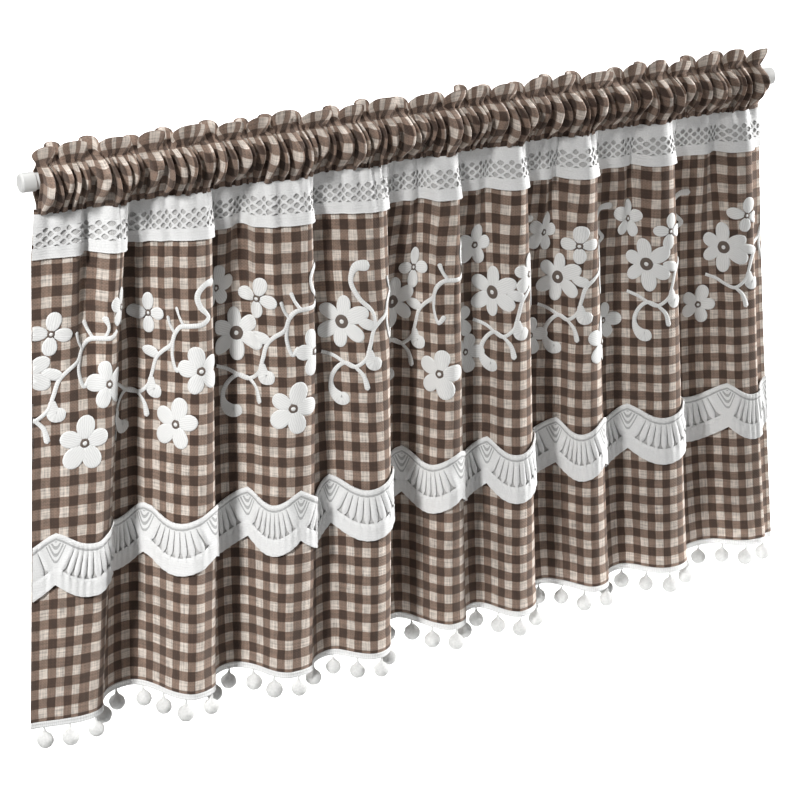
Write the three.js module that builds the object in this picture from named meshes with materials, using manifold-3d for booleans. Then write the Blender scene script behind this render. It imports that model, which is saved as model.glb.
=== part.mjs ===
// Short kitchen curtain gathered on a thin rod: a frilled rod pocket, a gingham panel hung in folds,
// an openwork lace band under the pocket, a scalloped lace lower down and a pompom braid on the hem.
// Millimetres, +Z up, +X along the rod from left to right, and the front of the cloth faces -Y.
// The origin is the middle of the left end face of the rod, on the rod's axis.

import * as THREE from 'three';
import { mergeVertices } from 'three/addons/utils/BufferGeometryUtils.js';
import Module from 'manifold-3d';

const wasm = await Module();
wasm.setup();

// Rod and its end caps
const ROD_LENGTH = 700;
const ROD_DIAMETER = 12.7;
const CAP_DIAMETER = 15;
const CAP_LENGTH = 12;
const CAP_CHAMFER = 1.5;
const ROUND_SIDES = 24;
const JOINT_GAP = 0.35;

// Heights below the rod's axis, all along the drop
const SEAM_Z = -26;
const BAND_TOP_Z = SEAM_Z - JOINT_GAP;
const BAND_BOTTOM_Z = -63;
const HEM_Z = -447;
const BRAID_HEIGHT = 5.5;

// Panel: sheet thickness, columns across its width and the heights of its rows
const PANEL_THICKNESS = 1.2;
const COLUMNS = 108;
const PANEL_ROWS = [BAND_TOP_Z, BAND_BOTTOM_Z, -115, -185, -265, -345, HEM_Z];

// Turns of the folds from left to right, ridges (negative depth) and valleys by turns.
// Columns: x under the lace band, depth there, x at the hem, depth at the hem.
const FOLD_TURNS = [
  [9, 7, -17, -3],
  [72, -7, 20, -10],
  [92, 14, 82, 30],
  [147, -8, 120, -22],
  [163, 11, 171, 16],
  [232, -12, 208, -26],
  [252, 8, 255, -5],
  [299, -9, 285, -30],
  [324, 9, 338, 31],
  [370, -11, 371, -14],
  [388, 9, 410, 14],
  [434, -12, 437, -21],
  [454, 9, 491, 28],
  [502, -12, 524, -10],
  [528, 10, 567, 19],
  [584, -10, 606, -10],
  [607, 11, 662, 27],
  [668, -5, 715, 3],
  [693, 3, 736, 10],
];
// Roundness of a fold on the flank that goes back and on the flank that comes forward again
const BACK_FLANK = 0.56;
const FRONT_FLANK = 0.42;
const FLANK_STEPS = 24;
// How soon the folds reach their full depth, and the share of it that is left at the seam
const FOLD_GROWTH = 2.1;
const SEAM_SHARE = 0.5;
// Share of the cloth's even spacing that gives way to the folds' own run down the drop
const COLUMN_DRIFT = 0.5;
const DRIFT_Z = -330;

// Short tucks under the pocket that die out down the panel.
// Columns: x under the lace band, depth, half width, reach below the band.
const TUCKS = [
  [55, 15, 9, 190],
  [188, 14, 8, 150],
  [350, 13, 8, 170],
  [414, 13, 8, 140],
  [482, 14, 8, 150],
  [560, 14, 8, 170],
  [648, 13, 8, 150],
];
const TUCK_SPREAD = 1.5;

// Lace band: sheet, distance from the panel, rows of its net and its diamond holes (shares of a cell)
const LACE_THICKNESS = 1;
const LACE_STANDOFF = 1.3;
const BAND_ROWS = [BAND_TOP_Z, -35.5, -44.5, -53.5, BAND_BOTTOM_Z];
const NET_ROWS = [1, 2];
const HOLE_HALF_WIDTH = 0.33;
const HOLE_HALF_HEIGHT = 0.4;

// Scalloped lace: rows of points, columns at the edges of its uneven lobes, heights of its edges, and the
// depth and roundness of their curves
const SCALLOP_ROWS = 3;
const LOBE_EDGES = [-4, 2, 8, 14, 21, 28, 33, 38, 45, 52, 58, 64, 70, 77, 82, 88, 95, 103, COLUMNS];
const SCALLOP_TOP_Z = -285;
const SCALLOP_TOP_DIP = 12.5;
const SCALLOP_PEAK_ROUNDING = 1.4;
const SCALLOP_NOTCH_Z = -328.5;
const SCALLOP_LOBE_DEPTH = 14;

// Pompom braid: backing strip, and pompoms on stalks at even steps along it
const BRAID_THICKNESS = 2;
const POMPOMS = 44;
const POMPOM_DIAMETER = 12.5;
const STALK_DIAMETER = 1.6;
const STALK_DROP = 6;
const STALK_ROOT = 1.5;
const POMPOM_SIDES = 6;

// Heading: gathers along the pocket, its wall and its ease on the rod, and the frill above it
const HEADING_LEFT = 14;
const HEADING_RIGHT = ROD_LENGTH - HEADING_LEFT;
const GATHERS = 54;
const GATHER_STATIONS = 2;
const GATHER_DEPTH = 4.6;
const GATHER_UNEVEN = 0.45;
const GATHER_SHIFT = 0.16;
const POCKET_WALL = 1.6;
const POCKET_EASE = 0.5;
const POCKET_TOP_Z = 12.2;
const POCKET_SHOULDER_Z = 9.3;
const SHOULDER_WIDTH = 0.72;
const SHOULDER_SWELL = 0.8;
const POCKET_BELLY_Z = -15;
const POCKET_FLOOR_Z = SEAM_Z + 4;
const FRILL_TOP_Z = 25;
const FRILL_UNEVEN = 2.4;
const FRILL_SWING = 5;
const FRILL_STATIONS = 2.6;
// Two waves that never fall in step make the gathers uneven. Columns: share, step, turn of the seed.
const UNEVEN_WAVES = [
  [0.6, 2.399, 1],
  [0.4, 5.173, 2.3],
];
// Seeds of the unevenness: swell in front and behind, swing and height of the frill, place along the rod
const SEED = { front: 1, back: 4, swing: 2, height: 6, place: 3 };

// Colours and finishes
const finish = (color, roughness) => new THREE.MeshStandardMaterial({ color, roughness, metalness: 0 });
const ENAMEL = finish('#efefee', 0.4);
const PLASTIC = finish('#efefee', 0.45);
const GINGHAM = finish('#85736a', 0.9);
const LACE = finish('#f3f3f2', 0.85);
const YARN = finish('#f7f7f6', 0.95);

const lerp = THREE.MathUtils.lerp;
const clamp = THREE.MathUtils.clamp;

// A repeatable unevenness between -1 and 1 for the gather of a given number
function uneven(number, seed) {
  return UNEVEN_WAVES.reduce((sum, [share, step, turn]) => (
    sum + share * Math.sin(step * number + turn * seed)
  ), 0);
}

// Drop below the lace band as a share of the way to the hem; above the band it is negative
function dropShare(z) {
  return (BAND_BOTTOM_Z - z) / (BAND_BOTTOM_Z - HEM_Z);
}

// Share of the fold depth that the gathered seam lets through between the seam and the lace's lower edge
function seamShare(z) {
  return lerp(SEAM_SHARE, 1, clamp((SEAM_Z - z) / (SEAM_Z - BAND_BOTTOM_Z), 0, 1));
}

// The folds' turns at one height, as plan points
function turnsAt(z) {
  const drop = dropShare(z);
  const growth = 1 - (1 - clamp(drop, 0, 1)) ** FOLD_GROWTH;
  return FOLD_TURNS.map(([xTop, depthTop, xHem, depthHem]) => (
    new THREE.Vector2(lerp(xTop, xHem, drop), lerp(depthTop, depthHem, growth) * seamShare(z))
  ));
}

// How far the tucks push the cloth back at a place on one height
function tuckDepth(x, z) {
  const [first, last] = [FOLD_TURNS[0], FOLD_TURNS[FOLD_TURNS.length - 1]];
  let depth = 0;
  for (const [tuckX, fullDepth, halfWidth, reach] of TUCKS) {
    const across = (tuckX - first[0]) / (last[0] - first[0]);
    const centre = lerp(tuckX, lerp(first[2], last[2], across), dropShare(z));
    const left = clamp(1 - (BAND_BOTTOM_Z - z) / reach, 0, 1);
    const fade = left * left * (3 - 2 * left);
    const width = halfWidth * (1 + TUCK_SPREAD * (1 - fade));
    depth += fullDepth * fade * seamShare(z) * Math.exp(-(((x - centre) / width) ** 2));
  }
  return depth;
}

// Plan line of the cloth at one height: round turns joined by flanks, with the tucks pressed in
function planLine(z) {
  const turns = turnsAt(z);
  const points = [];
  for (let i = 0; i + 1 < turns.length; i += 1) {
    const [a, b] = [turns[i], turns[i + 1]];
    const reach = (b.y > a.y ? BACK_FLANK : FRONT_FLANK) * (b.x - a.x);
    const flank = new THREE.CubicBezierCurve(
      a, new THREE.Vector2(a.x + reach, a.y), new THREE.Vector2(b.x - reach, b.y), b,
    );
    points.push(...flank.getPoints(FLANK_STEPS).slice(i === 0 ? 0 : 1));
  }
  points.forEach((p) => { p.y += tuckDepth(p.x, z); });
  return points;
}

// Where along a line, in steps, equal lengths of cloth fall
function evenSteps(points) {
  const lengths = [0];
  for (let i = 1; i < points.length; i += 1) {
    lengths.push(lengths[i - 1] + points[i].distanceTo(points[i - 1]));
  }
  const total = lengths[lengths.length - 1];
  const steps = [];
  let i = 0;
  for (let column = 0; column <= COLUMNS; column += 1) {
    const wanted = (total * column) / COLUMNS;
    while (i + 2 < lengths.length && lengths[i + 1] < wanted) i += 1;
    steps.push(i + (wanted - lengths[i]) / (lengths[i + 1] - lengths[i]));
  }
  return steps;
}

const DRIFT_STEPS = evenSteps(planLine(DRIFT_Z));

// The cloth's columns at one height: plan points with their outward (front) directions
function clothRow(z) {
  const line = planLine(z);
  const own = evenSteps(line);
  const points = own.map((step, column) => {
    const at = lerp(step, DRIFT_STEPS[column], COLUMN_DRIFT);
    const i = Math.min(Math.floor(at), line.length - 2);
    return line[i].clone().lerp(line[i + 1], at - i);
  });
  return points.map((point, column) => {
    const before = points[Math.max(column - 1, 0)];
    const after = points[Math.min(column + 1, COLUMNS)];
    const along = after.clone().sub(before).normalize();
    return { point, front: new THREE.Vector2(along.y, -along.x) };
  });
}

// A point off the cloth's face, towards the front, at one height
function offCloth({ point, front }, distance, z) {
  return new THREE.Vector3(point.x + front.x * distance, point.y + front.y * distance, z);
}

// Triangles of a grid with the front facing the viewer: rows go down and columns go right
function gridFaces(rows, columns, skip = () => false) {
  const faces = [];
  const at = (row, column) => row * (columns + 1) + column;
  for (let row = 0; row < rows; row += 1) {
    for (let column = 0; column < columns; column += 1) {
      if (skip(row, column)) continue;
      const [a, b] = [at(row, column), at(row, column + 1)];
      const [c, d] = [at(row + 1, column + 1), at(row + 1, column)];
      faces.push([d, c, b], [d, b, a]);
    }
  }
  return faces;
}

function geometryFrom(points, faces) {
  const geometry = new THREE.BufferGeometry();
  const numbers = points.flatMap((p) => [p.x, p.y, p.z]);
  geometry.setAttribute('position', new THREE.Float32BufferAttribute(numbers, 3));
  geometry.setIndex(faces.flat());
  geometry.computeVertexNormals();
  return geometry;
}

// A closed sheet from a front face, the matching back points and walls along every free edge
function thickSheet(front, back, faces) {
  const shift = front.length;
  const all = faces.flatMap(([a, b, c]) => [[a, b, c], [c + shift, b + shift, a + shift]]);
  const edges = new Set(faces.flatMap(([a, b, c]) => [`${a} ${b}`, `${b} ${c}`, `${c} ${a}`]));
  for (const edge of edges) {
    const [a, b] = edge.split(' ').map(Number);
    if (edges.has(`${b} ${a}`)) continue;
    all.push([b, a, a + shift], [b, a + shift, b + shift]);
  }
  return geometryFrom([...front, ...back], all);
}

// Front and back points of a sheet on the cloth, from the height of each row at each column
function sheetPoints(rows, zAt, inside, outside) {
  const front = [];
  const back = [];
  for (let row = 0; row < rows; row += 1) {
    for (let column = 0; column <= COLUMNS; column += 1) {
      const z = zAt(row, column);
      const cloth = clothRow(z)[column];
      front.push(offCloth(cloth, outside, z));
      back.push(offCloth(cloth, inside, z));
    }
  }
  return { front, back };
}

function panelGeometry() {
  const { front, back } = sheetPoints(PANEL_ROWS.length, (row) => PANEL_ROWS[row], -PANEL_THICKNESS, 0);
  return thickSheet(front, back, gridFaces(PANEL_ROWS.length - 1, COLUMNS));
}

// Is this cell of the lace band one of its net's staggered holes
function isHole(row, column) {
  return NET_ROWS.includes(row) && (row + column) % 2 === 0;
}

function laceBandGeometry() {
  const outside = LACE_STANDOFF + LACE_THICKNESS;
  const { front, back } = sheetPoints(BAND_ROWS.length, (row) => BAND_ROWS[row], LACE_STANDOFF, outside);
  const faces = gridFaces(BAND_ROWS.length - 1, COLUMNS, isHole);
  const holeCorners = [
    [0, HOLE_HALF_HEIGHT],
    [HOLE_HALF_WIDTH, 0],
    [0, -HOLE_HALF_HEIGHT],
    [-HOLE_HALF_WIDTH, 0],
  ];
  const holePoints = (points, corners) => holeCorners.map(([right, down]) => {
    const [bottomLeft, bottomRight, topRight, topLeft] = corners.map((corner) => points[corner]);
    const upper = topLeft.clone().lerp(topRight, 0.5 + right);
    const lower = bottomLeft.clone().lerp(bottomRight, 0.5 + right);
    return upper.lerp(lower, 0.5 + down);
  });
  for (const row of NET_ROWS) {
    for (let column = 0; column < COLUMNS; column += 1) {
      if (!isHole(row, column)) continue;
      const topLeft = row * (COLUMNS + 1) + column;
      const bottomLeft = topLeft + COLUMNS + 1;
      const corners = [bottomLeft, bottomLeft + 1, topLeft + 1, topLeft];
      const first = front.length;
      front.push(...holePoints(front, corners));
      back.push(...holePoints(back, corners));
      corners.forEach((corner, side) => {
        const next = (side + 1) % corners.length;
        faces.push([corner, corners[next], first + side], [corners[next], first + next, first + side]);
      });
    }
  }
  return thickSheet(front, back, faces);
}

// Upper, middle and lower edge of the scalloped lace at a column
function scallopEdge(row, column) {
  const after = LOBE_EDGES.findIndex((edge) => edge >= column);
  const [left, right] = LOBE_EDGES.slice(after - 1, after + 1);
  const arch = Math.abs(Math.sin((Math.PI * (column - left)) / (right - left)));
  const upper = SCALLOP_TOP_Z - SCALLOP_TOP_DIP * arch ** SCALLOP_PEAK_ROUNDING;
  const lower = SCALLOP_NOTCH_Z - SCALLOP_LOBE_DEPTH * arch;
  return lerp(upper, lower, row / (SCALLOP_ROWS - 1));
}

function scallopLaceGeometry() {
  const outside = LACE_STANDOFF + LACE_THICKNESS;
  const { front, back } = sheetPoints(SCALLOP_ROWS, scallopEdge, LACE_STANDOFF, outside);
  return thickSheet(front, back, gridFaces(SCALLOP_ROWS - 1, COLUMNS));
}

function toManifold(geometry) {
  const bare = geometry.clone();
  bare.deleteAttribute('normal');
  bare.deleteAttribute('uv');
  const merged = mergeVertices(bare);
  const vertProperties = new Float32Array(merged.attributes.position.array);
  const triVerts = new Uint32Array(merged.index.array);
  return new wasm.Manifold(new wasm.Mesh({ numProp: 3, vertProperties, triVerts }));
}

function fromManifold(solid) {
  const mesh = solid.getMesh();
  const geometry = new THREE.BufferGeometry();
  geometry.setAttribute('position', new THREE.BufferAttribute(mesh.vertProperties, 3));
  geometry.setIndex(new THREE.BufferAttribute(mesh.triVerts, 1));
  geometry.computeVertexNormals();
  return geometry;
}

// One pompom on its stalk, the stalk's top at the origin
function pompomGeometry() {
  const ball = POMPOM_DIAMETER / 2;
  const stalk = STALK_DIAMETER / 2;
  const centre = -(STALK_ROOT + STALK_DROP + ball);
  const shoulder = ball * Math.SQRT1_2;
  const profile = [
    [0, centre - ball],
    [shoulder, centre - shoulder],
    [ball, centre],
    [shoulder, centre + shoulder],
    [stalk, centre + ball],
    [stalk, 0],
    [0, 0],
  ].map(([radius, height]) => new THREE.Vector2(radius, height));
  return new THREE.LatheGeometry(profile, POMPOM_SIDES).rotateX(Math.PI / 2);
}

function pompomTrimGeometry() {
  const half = BRAID_THICKNESS / 2;
  const middle = -PANEL_THICKNESS / 2;
  const top = HEM_Z - JOINT_GAP;
  const heights = [top, top - BRAID_HEIGHT];
  const row = clothRow(HEM_Z);
  const strip = (distance) => heights.flatMap((z) => row.map((cloth) => offCloth(cloth, distance, z)));
  const braid = thickSheet(strip(middle + half), strip(middle - half), gridFaces(1, COLUMNS));
  let trim = toManifold(braid);
  const pompom = pompomGeometry();
  for (let number = 0; number < POMPOMS; number += 1) {
    const at = ((number + 0.5) * COLUMNS) / POMPOMS;
    const column = Math.floor(at);
    const before = offCloth(row[column], middle, heights[1]);
    const after = offCloth(row[column + 1], middle, heights[1]);
    const root = before.lerp(after, at - column);
    trim = trim.add(toManifold(pompom.clone().translate(root.x, root.y, root.z + STALK_ROOT)));
  }
  return fromManifold(trim);
}

// Depth of the cloth at the seam above a place along the rod
function seamDepth(x, row) {
  const after = row.findIndex(({ point }) => point.x >= x);
  if (after <= 0) return row[after === 0 ? 0 : row.length - 1].point.y;
  const [a, b] = [row[after - 1].point, row[after].point];
  return lerp(a.y, b.y, (x - a.x) / (b.x - a.x));
}

// Outline and pocket of the heading at one station, as (depth, height) points
function headingSection(station, x, seamRow) {
  const rod = ROD_DIAMETER / 2 + POCKET_EASE;
  const ridge = station % GATHER_STATIONS;
  const swell = (seed) => ridge * GATHER_DEPTH * (1 + GATHER_UNEVEN * uneven(station, seed));
  const [front, back] = [swell(SEED.front), swell(SEED.back)];
  const seam = seamDepth(x, seamRow);
  const swing = FRILL_SWING * uneven(station / FRILL_STATIONS, SEED.swing);
  const frillTop = FRILL_TOP_Z + FRILL_UNEVEN * uneven(station / FRILL_STATIONS, SEED.height);
  const shoulder = rod * SHOULDER_WIDTH;
  const contour = [
    [seam - POCKET_WALL, SEAM_Z],
    [-rod - front - POCKET_WALL, POCKET_BELLY_Z],
    [-rod - front - POCKET_WALL, 0],
    [-shoulder - front * SHOULDER_SWELL - POCKET_WALL, POCKET_SHOULDER_Z],
    [-POCKET_WALL, POCKET_TOP_Z],
    [swing - POCKET_WALL / 2, frillTop],
    [swing + POCKET_WALL / 2, frillTop],
    [POCKET_WALL, POCKET_TOP_Z],
    [shoulder + back * SHOULDER_SWELL + POCKET_WALL, POCKET_SHOULDER_Z],
    [rod + back + POCKET_WALL, 0],
    [rod + back + POCKET_WALL, POCKET_BELLY_Z],
    [seam + POCKET_WALL, SEAM_Z],
  ];
  const pocket = [
    [-shoulder - front * SHOULDER_SWELL, POCKET_SHOULDER_Z],
    [-rod - front, 0],
    [-rod - front, POCKET_BELLY_Z],
    [seam, POCKET_FLOOR_Z],
    [rod + back, POCKET_BELLY_Z],
    [rod + back, 0],
    [shoulder + back * SHOULDER_SWELL, POCKET_SHOULDER_Z],
  ];
  const plan = (points) => points.map(([depth, height]) => new THREE.Vector2(depth, height));
  return { contour: plan(contour), pocket: plan(pocket) };
}

function headingGeometry() {
  const stations = GATHERS * GATHER_STATIONS;
  const seamRow = clothRow(SEAM_Z);
  const pitch = (HEADING_RIGHT - HEADING_LEFT) / stations;
  const points = [];
  const sections = [];
  for (let station = 0; station <= stations; station += 1) {
    const isEnd = station === 0 || station === stations;
    const shift = isEnd ? 0 : GATHER_SHIFT * pitch * uneven(station, SEED.place);
    const x = HEADING_LEFT + pitch * station + shift;
    const section = headingSection(station, x, seamRow);
    sections.push(section);
    points.push(...[...section.contour, ...section.pocket].map((p) => new THREE.Vector3(x, p.x, p.y)));
  }
  const { contour, pocket } = sections[0];
  const ring = contour.length + pocket.length;
  const faces = [];
  const wall = (start, count) => {
    for (let station = 0; station < stations; station += 1) {
      for (let i = 0; i < count; i += 1) {
        const [a, b] = [start + i, start + ((i + 1) % count)].map((k) => station * ring + k);
        faces.push([b, a, a + ring], [b, a + ring, b + ring]);
      }
    }
  };
  wall(0, contour.length);
  wall(contour.length, pocket.length);
  const last = stations * ring;
  const endFaces = (section, base, turn) => THREE.ShapeUtils
    .triangulateShape(section.contour, [section.pocket])
    .map((face) => face.map((k) => base + k))
    .map((face) => (turn ? face.reverse() : face));
  faces.push(...endFaces(sections[0], 0, true), ...endFaces(sections[stations], last, false));
  return geometryFrom(points, faces);
}

function rodGeometry() {
  const radius = ROD_DIAMETER / 2;
  const length = ROD_LENGTH - 2 * (CAP_LENGTH + JOINT_GAP);
  return new THREE.CylinderGeometry(radius, radius, length, ROUND_SIDES).rotateZ(Math.PI / 2);
}

// End cap, turned about the rod's axis, with its chamfered end face at the origin, facing -X
function capGeometry() {
  const radius = CAP_DIAMETER / 2;
  const profile = [
    [0, -CAP_LENGTH],
    [radius, -CAP_LENGTH],
    [radius, -CAP_CHAMFER],
    [radius - CAP_CHAMFER, 0],
    [0, 0],
  ].map(([r, h]) => new THREE.Vector2(r, h));
  return new THREE.LatheGeometry(profile, ROUND_SIDES).rotateZ(Math.PI / 2);
}

const curtain = new THREE.Group();

function addPiece(name, geometry, material) {
  const mesh = new THREE.Mesh(geometry, material);
  mesh.name = name;
  curtain.add(mesh);
  return mesh;
}

addPiece('rod', rodGeometry(), ENAMEL).position.x = ROD_LENGTH / 2;
addPiece('rod_cap_left', capGeometry(), PLASTIC);
const rightCap = addPiece('rod_cap_right', capGeometry(), PLASTIC);
rightCap.position.x = ROD_LENGTH;
rightCap.rotation.z = Math.PI;
addPiece('heading', headingGeometry(), GINGHAM);
addPiece('panel', panelGeometry(), GINGHAM);
addPiece('lace_band', laceBandGeometry(), LACE);
addPiece('scallop_lace', scallopLaceGeometry(), LACE);
addPiece('pompom_trim', pompomTrimGeometry(), YARN);

export default curtain;
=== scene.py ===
"""Looks of a short kitchen curtain on a rod: gathered gingham, two laces, embroidered flowers and pompoms."""

import math

import bpy
import numpy as np
from bpy.props import FloatProperty, FloatVectorProperty, IntProperty, PointerProperty
from bpy.types import Operator, Panel, PropertyGroup
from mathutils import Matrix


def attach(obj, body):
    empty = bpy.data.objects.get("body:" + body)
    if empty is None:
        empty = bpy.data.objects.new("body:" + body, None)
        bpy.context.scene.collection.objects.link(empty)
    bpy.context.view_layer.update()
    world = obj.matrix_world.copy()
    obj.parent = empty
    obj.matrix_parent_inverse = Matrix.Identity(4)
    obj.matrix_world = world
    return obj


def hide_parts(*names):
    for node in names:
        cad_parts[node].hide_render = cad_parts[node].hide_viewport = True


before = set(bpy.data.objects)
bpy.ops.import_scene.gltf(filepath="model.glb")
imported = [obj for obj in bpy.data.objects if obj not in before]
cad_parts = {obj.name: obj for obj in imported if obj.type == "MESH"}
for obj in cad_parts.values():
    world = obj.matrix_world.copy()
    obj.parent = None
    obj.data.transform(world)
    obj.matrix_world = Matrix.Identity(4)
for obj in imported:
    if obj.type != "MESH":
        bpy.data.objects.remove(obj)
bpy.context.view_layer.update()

bl_info = {
    "name": "Kitchen curtain",
    "version": (1, 0, 0),
    "blender": (4, 5, 0),
    "location": "View3D > Sidebar > Curtain",
    "description": "Builds the cloth, laces, embroidery and trim of a gathered kitchen curtain",
    "category": "Object",
}

# Sizes in this script are millimetres, as on the maker's drawing; meshes are made in metres.
MM = 0.001
BODY = "root"

# Rod, its end caps and the heights of the seams below the rod's axis
ROD_LENGTH = 700.0
ROD_RADIUS = 6.35
CAP_RADIUS = 7.5
CAP_LENGTH = 12.0
CAP_ROUNDING = 2.2
CAP_SEGMENTS = 56
CAP_STEPS = 8
CAP_BEVEL = 0.5
CAP_MIDDLE = 1.2
CAP_INSET = 1.5
SEAM_Z = -26.0
BAND_BOTTOM_Z = -63.0
HEM_Z = -447.0

# Turns of the folds from left to right, ridges (negative depth) and valleys by turns.
# Columns: x under the lace band, depth there, x at the hem, depth at the hem.
FOLD_TURNS = np.array([
    [9, 7, -17, -3],
    [72, -7, 20, -10],
    [92, 14, 82, 30],
    [147, -8, 120, -22],
    [163, 11, 171, 16],
    [232, -12, 208, -26],
    [252, 8, 255, -5],
    [299, -9, 285, -30],
    [324, 9, 338, 31],
    [370, -11, 371, -14],
    [388, 9, 410, 14],
    [434, -12, 437, -21],
    [454, 9, 491, 28],
    [502, -12, 524, -10],
    [528, 10, 567, 19],
    [584, -10, 606, -10],
    [607, 11, 662, 27],
    [668, -5, 715, 3],
    [693, 3, 736, 10],
], float)
BACK_FLANK = 0.56
FRONT_FLANK = 0.42
FLANK_STEPS = 24
FOLD_GROWTH = 2.1
SEAM_SHARE = 0.5
COLUMN_DRIFT = 0.5
DRIFT_Z = -330.0

# Short tucks under the pocket. Columns: x under the lace band, depth, half width, reach below the band.
TUCKS = [
    [55, 15, 9, 190],
    [188, 14, 8, 150],
    [350, 13, 8, 170],
    [414, 13, 8, 140],
    [482, 14, 8, 150],
    [560, 14, 8, 170],
    [648, 13, 8, 150],
]
TUCK_SPREAD = 1.5

# The cloth's cut width, and the fine grid on which its hung surface is worked out
FLAT_WIDTH = 1032.0
GRID_ACROSS = 1290
GRID_TOP_Z = -20.0
GRID_BOTTOM_Z = -460.0
GRID_DOWN = 176

# Pleats left by the gathering: pitch, height, reach below the seam, then how they wander, slant and fade
PLEAT_PITCH = 15.5
PLEAT_HEIGHT = 2.0
PLEAT_REACH = 24.0
PLEAT_WANDER = 1.7
PLEAT_WANDER_SPAN = 37
PLEAT_SLANT = 0.4
PLEAT_SLANT_SPAN = 30
PLEAT_FADE = 0.4
PLEAT_FADE_SPAN = 53
# Slow ripples of the whole cloth: pitch, height, how they wander, and how far below the seam they are full
RIPPLE_PITCH = 47.0
RIPPLE_HEIGHT = 0.6
RIPPLE_WANDER = 1.3
RIPPLE_SPAN_ACROSS = 91
RIPPLE_SPAN_DOWN = 140
RIPPLE_FULL = 90
# Main creases, placed one by one; ridges stand up, troughs go in (negative height).
# Columns: across and height of the upper end, across and height of the lower end, half width, height
CREASES = [
    (34, -10, 36, -160, 4.5, 1.3),
    (41, -10, 41, -140, 3.6, -1.4),
    (119, -10, 127, -460, 5.0, -2.4),
    (128, -10, 137, -460, 4.5, 2.2),
    (151, -40, 157, -150, 3.2, 1.4),
    (160, -20, 167, -175, 3.6, -1.3),
    (271, -10, 271, -300, 6.0, -1.8),
    (281, -10, 279, -270, 4.2, 1.8),
    (294, -10, 301, -180, 3.2, 2.0),
    (302, -20, 309, -190, 4.2, -1.6),
    (365, -10, 361, -190, 4.0, -1.5),
    (487, -10, 490, -250, 5.0, -2.0),
    (530, -10, 535, -220, 3.4, 2.0),
    (540, -20, 545, -205, 4.4, -1.6),
    (614, -110, 612, -340, 7.0, -1.6),
    (726, -30, 706, -165, 3.4, 1.7),
    (740, -130, 735, -340, 7.0, -1.4),
    (844, -30, 823, -180, 3.6, 1.6),
    (855, -120, 856, -340, 7.0, -1.4),
    (979, -130, 981, -350, 7.0, -1.4),
    (50, -250, 62, -470, 5.0, 1.6),
    (193, -270, 197, -470, 4.0, -1.4),
    (314, -210, 314, -455, 6.0, -1.2),
]
# How sharply a crease begins at its upper end, and dies out at its lower end
CREASE_START = 5
CREASE_END = 3
# Narrow ridge along each fold's edge: place and half widths in steps along a flank, its height, and how far
# below the seam it is full
EDGE_STEP = 8.0
EDGE_FLANK_WIDTH = 8.0
EDGE_RECESS_WIDTH = 1.5
EDGE_HEIGHT = 2.8
EDGE_FULL = 40

# Panel sheet, its doubled hems, and the widths over which the cloth steps up to them
PANEL_THICKNESS = 0.9
PANEL_ACROSS = 560
PANEL_DOWN = 80
PANEL_TOP_Z = -23.0
SIDE_HEM = 9.0
SIDE_HEM_EASE = 2.5
LOW_HEM = 12.0
LOW_HEM_EASE = 3.5
HEM_STEP = 0.5

# Lace band: distance from the panel, sheet, net cells (half sizes) and rows of holes
LACE_STANDOFF = 1.2
LACE_THICKNESS = 0.7
BAND_TOP_Z = -26.35
NET_TOP_Z = -36.5
NET_CELLS = 118
NET_HALF_WIDTH = FLAT_WIDTH / NET_CELLS / 2
NET_HALF_HEIGHT = 3.5
NET_ROWS = 4
NET_BOTTOM_Z = NET_TOP_Z - (NET_ROWS + 1) * NET_HALF_HEIGHT
NET_SIDE_STEPS = 4
NET_HOLE = 0.66
HALF_HOLE = 0.52
HOLE_ROUND = 0.82
HOLE_ROUNDING = 0.55
STRIP_STEP = 2.3
CORD_HEIGHT = 0.4
CORD_WIDTH = 0.9
BAND_CORDS = (NET_TOP_Z + 1.2, NET_BOTTOM_Z - 1.2, BAND_BOTTOM_Z + 0.8)

# Fine tulle behind the holes of both laces: distance from the panel, sheet, grid and places across the cloth
TULLE_STANDOFF = 0.3
TULLE_THICKNESS = 0.3
TULLE_ACROSS = 720
TULLE_DOWN = 6
TULLE_OVERLAP = 2.0
TULLE_PLACES = np.linspace(1.0, FLAT_WIDTH - 1.0, TULLE_ACROSS + 1)

# Scalloped lace: lobes, heights of its edges, fans and border (shares of the height or of half a lobe)
LOBE_COLUMNS = 108
LOBE_EDGES = np.array([-4, 2, 8, 14, 21, 28, 33, 38, 45, 52, 58, 64, 70, 77, 82, 88, 95, 103, LOBE_COLUMNS])
LOBE_EDGES = LOBE_EDGES * FLAT_WIDTH / LOBE_COLUMNS
LOBE_WIDTH = 57.0
SCALLOP_TOP_Z = -285.0
SCALLOP_TOP_DIP = 12.5
SCALLOP_PEAK_ROUNDING = 1.4
SCALLOP_NOTCH_Z = -328.5
SCALLOP_LOBE_DEPTH = 14.0
PETALS = 9
FAN_TOP = 0.15
FAN_BOTTOM = 0.67
FAN_SIDE = 0.95
FAN_GATHER = 0.65
FAN_ROWS = (0.0, 0.16, 0.31, 0.45, 0.57, 0.68, 0.77, 0.85, 0.91, 0.96, 1.0)
SLIT_TOP = 0.12
SLIT_GROWTH = 0.62
SLIT_FOOT = 2.5
SLIT_FOOT_START = 0.7
PETAL_HEIGHT = 1.1
PETAL_ENDS = (0.06, 0.94)
EDGE_ROWS = (0.0, 0.025, 0.055, 0.085, 0.1, 0.12)
BORDER_ROWS = (0.7, 0.74, 0.8, 0.86, 0.93, 0.975, 1.0)
# Slits between petals: how round their feet are, how far they close below the fan and over what height
SLIT_FOOT_ROUND = 0.96
SLIT_CLOSING = 0.75
SLIT_CLOSING_SPAN = 0.1
# Cord near the upper edge, border below the fans, cord on its rim: place, half width, rise in millimetres
EDGE_CORD = (0.055, 0.03, 0.7)
BORDER = (FAN_BOTTOM, 0.03, 0.35)
RIM_CORD = (0.975, 0.025, 0.3)
# The tulle behind the slits reaches between these places
SLIT_TULLE = (0.06, FAN_BOTTOM + 0.06)
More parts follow.
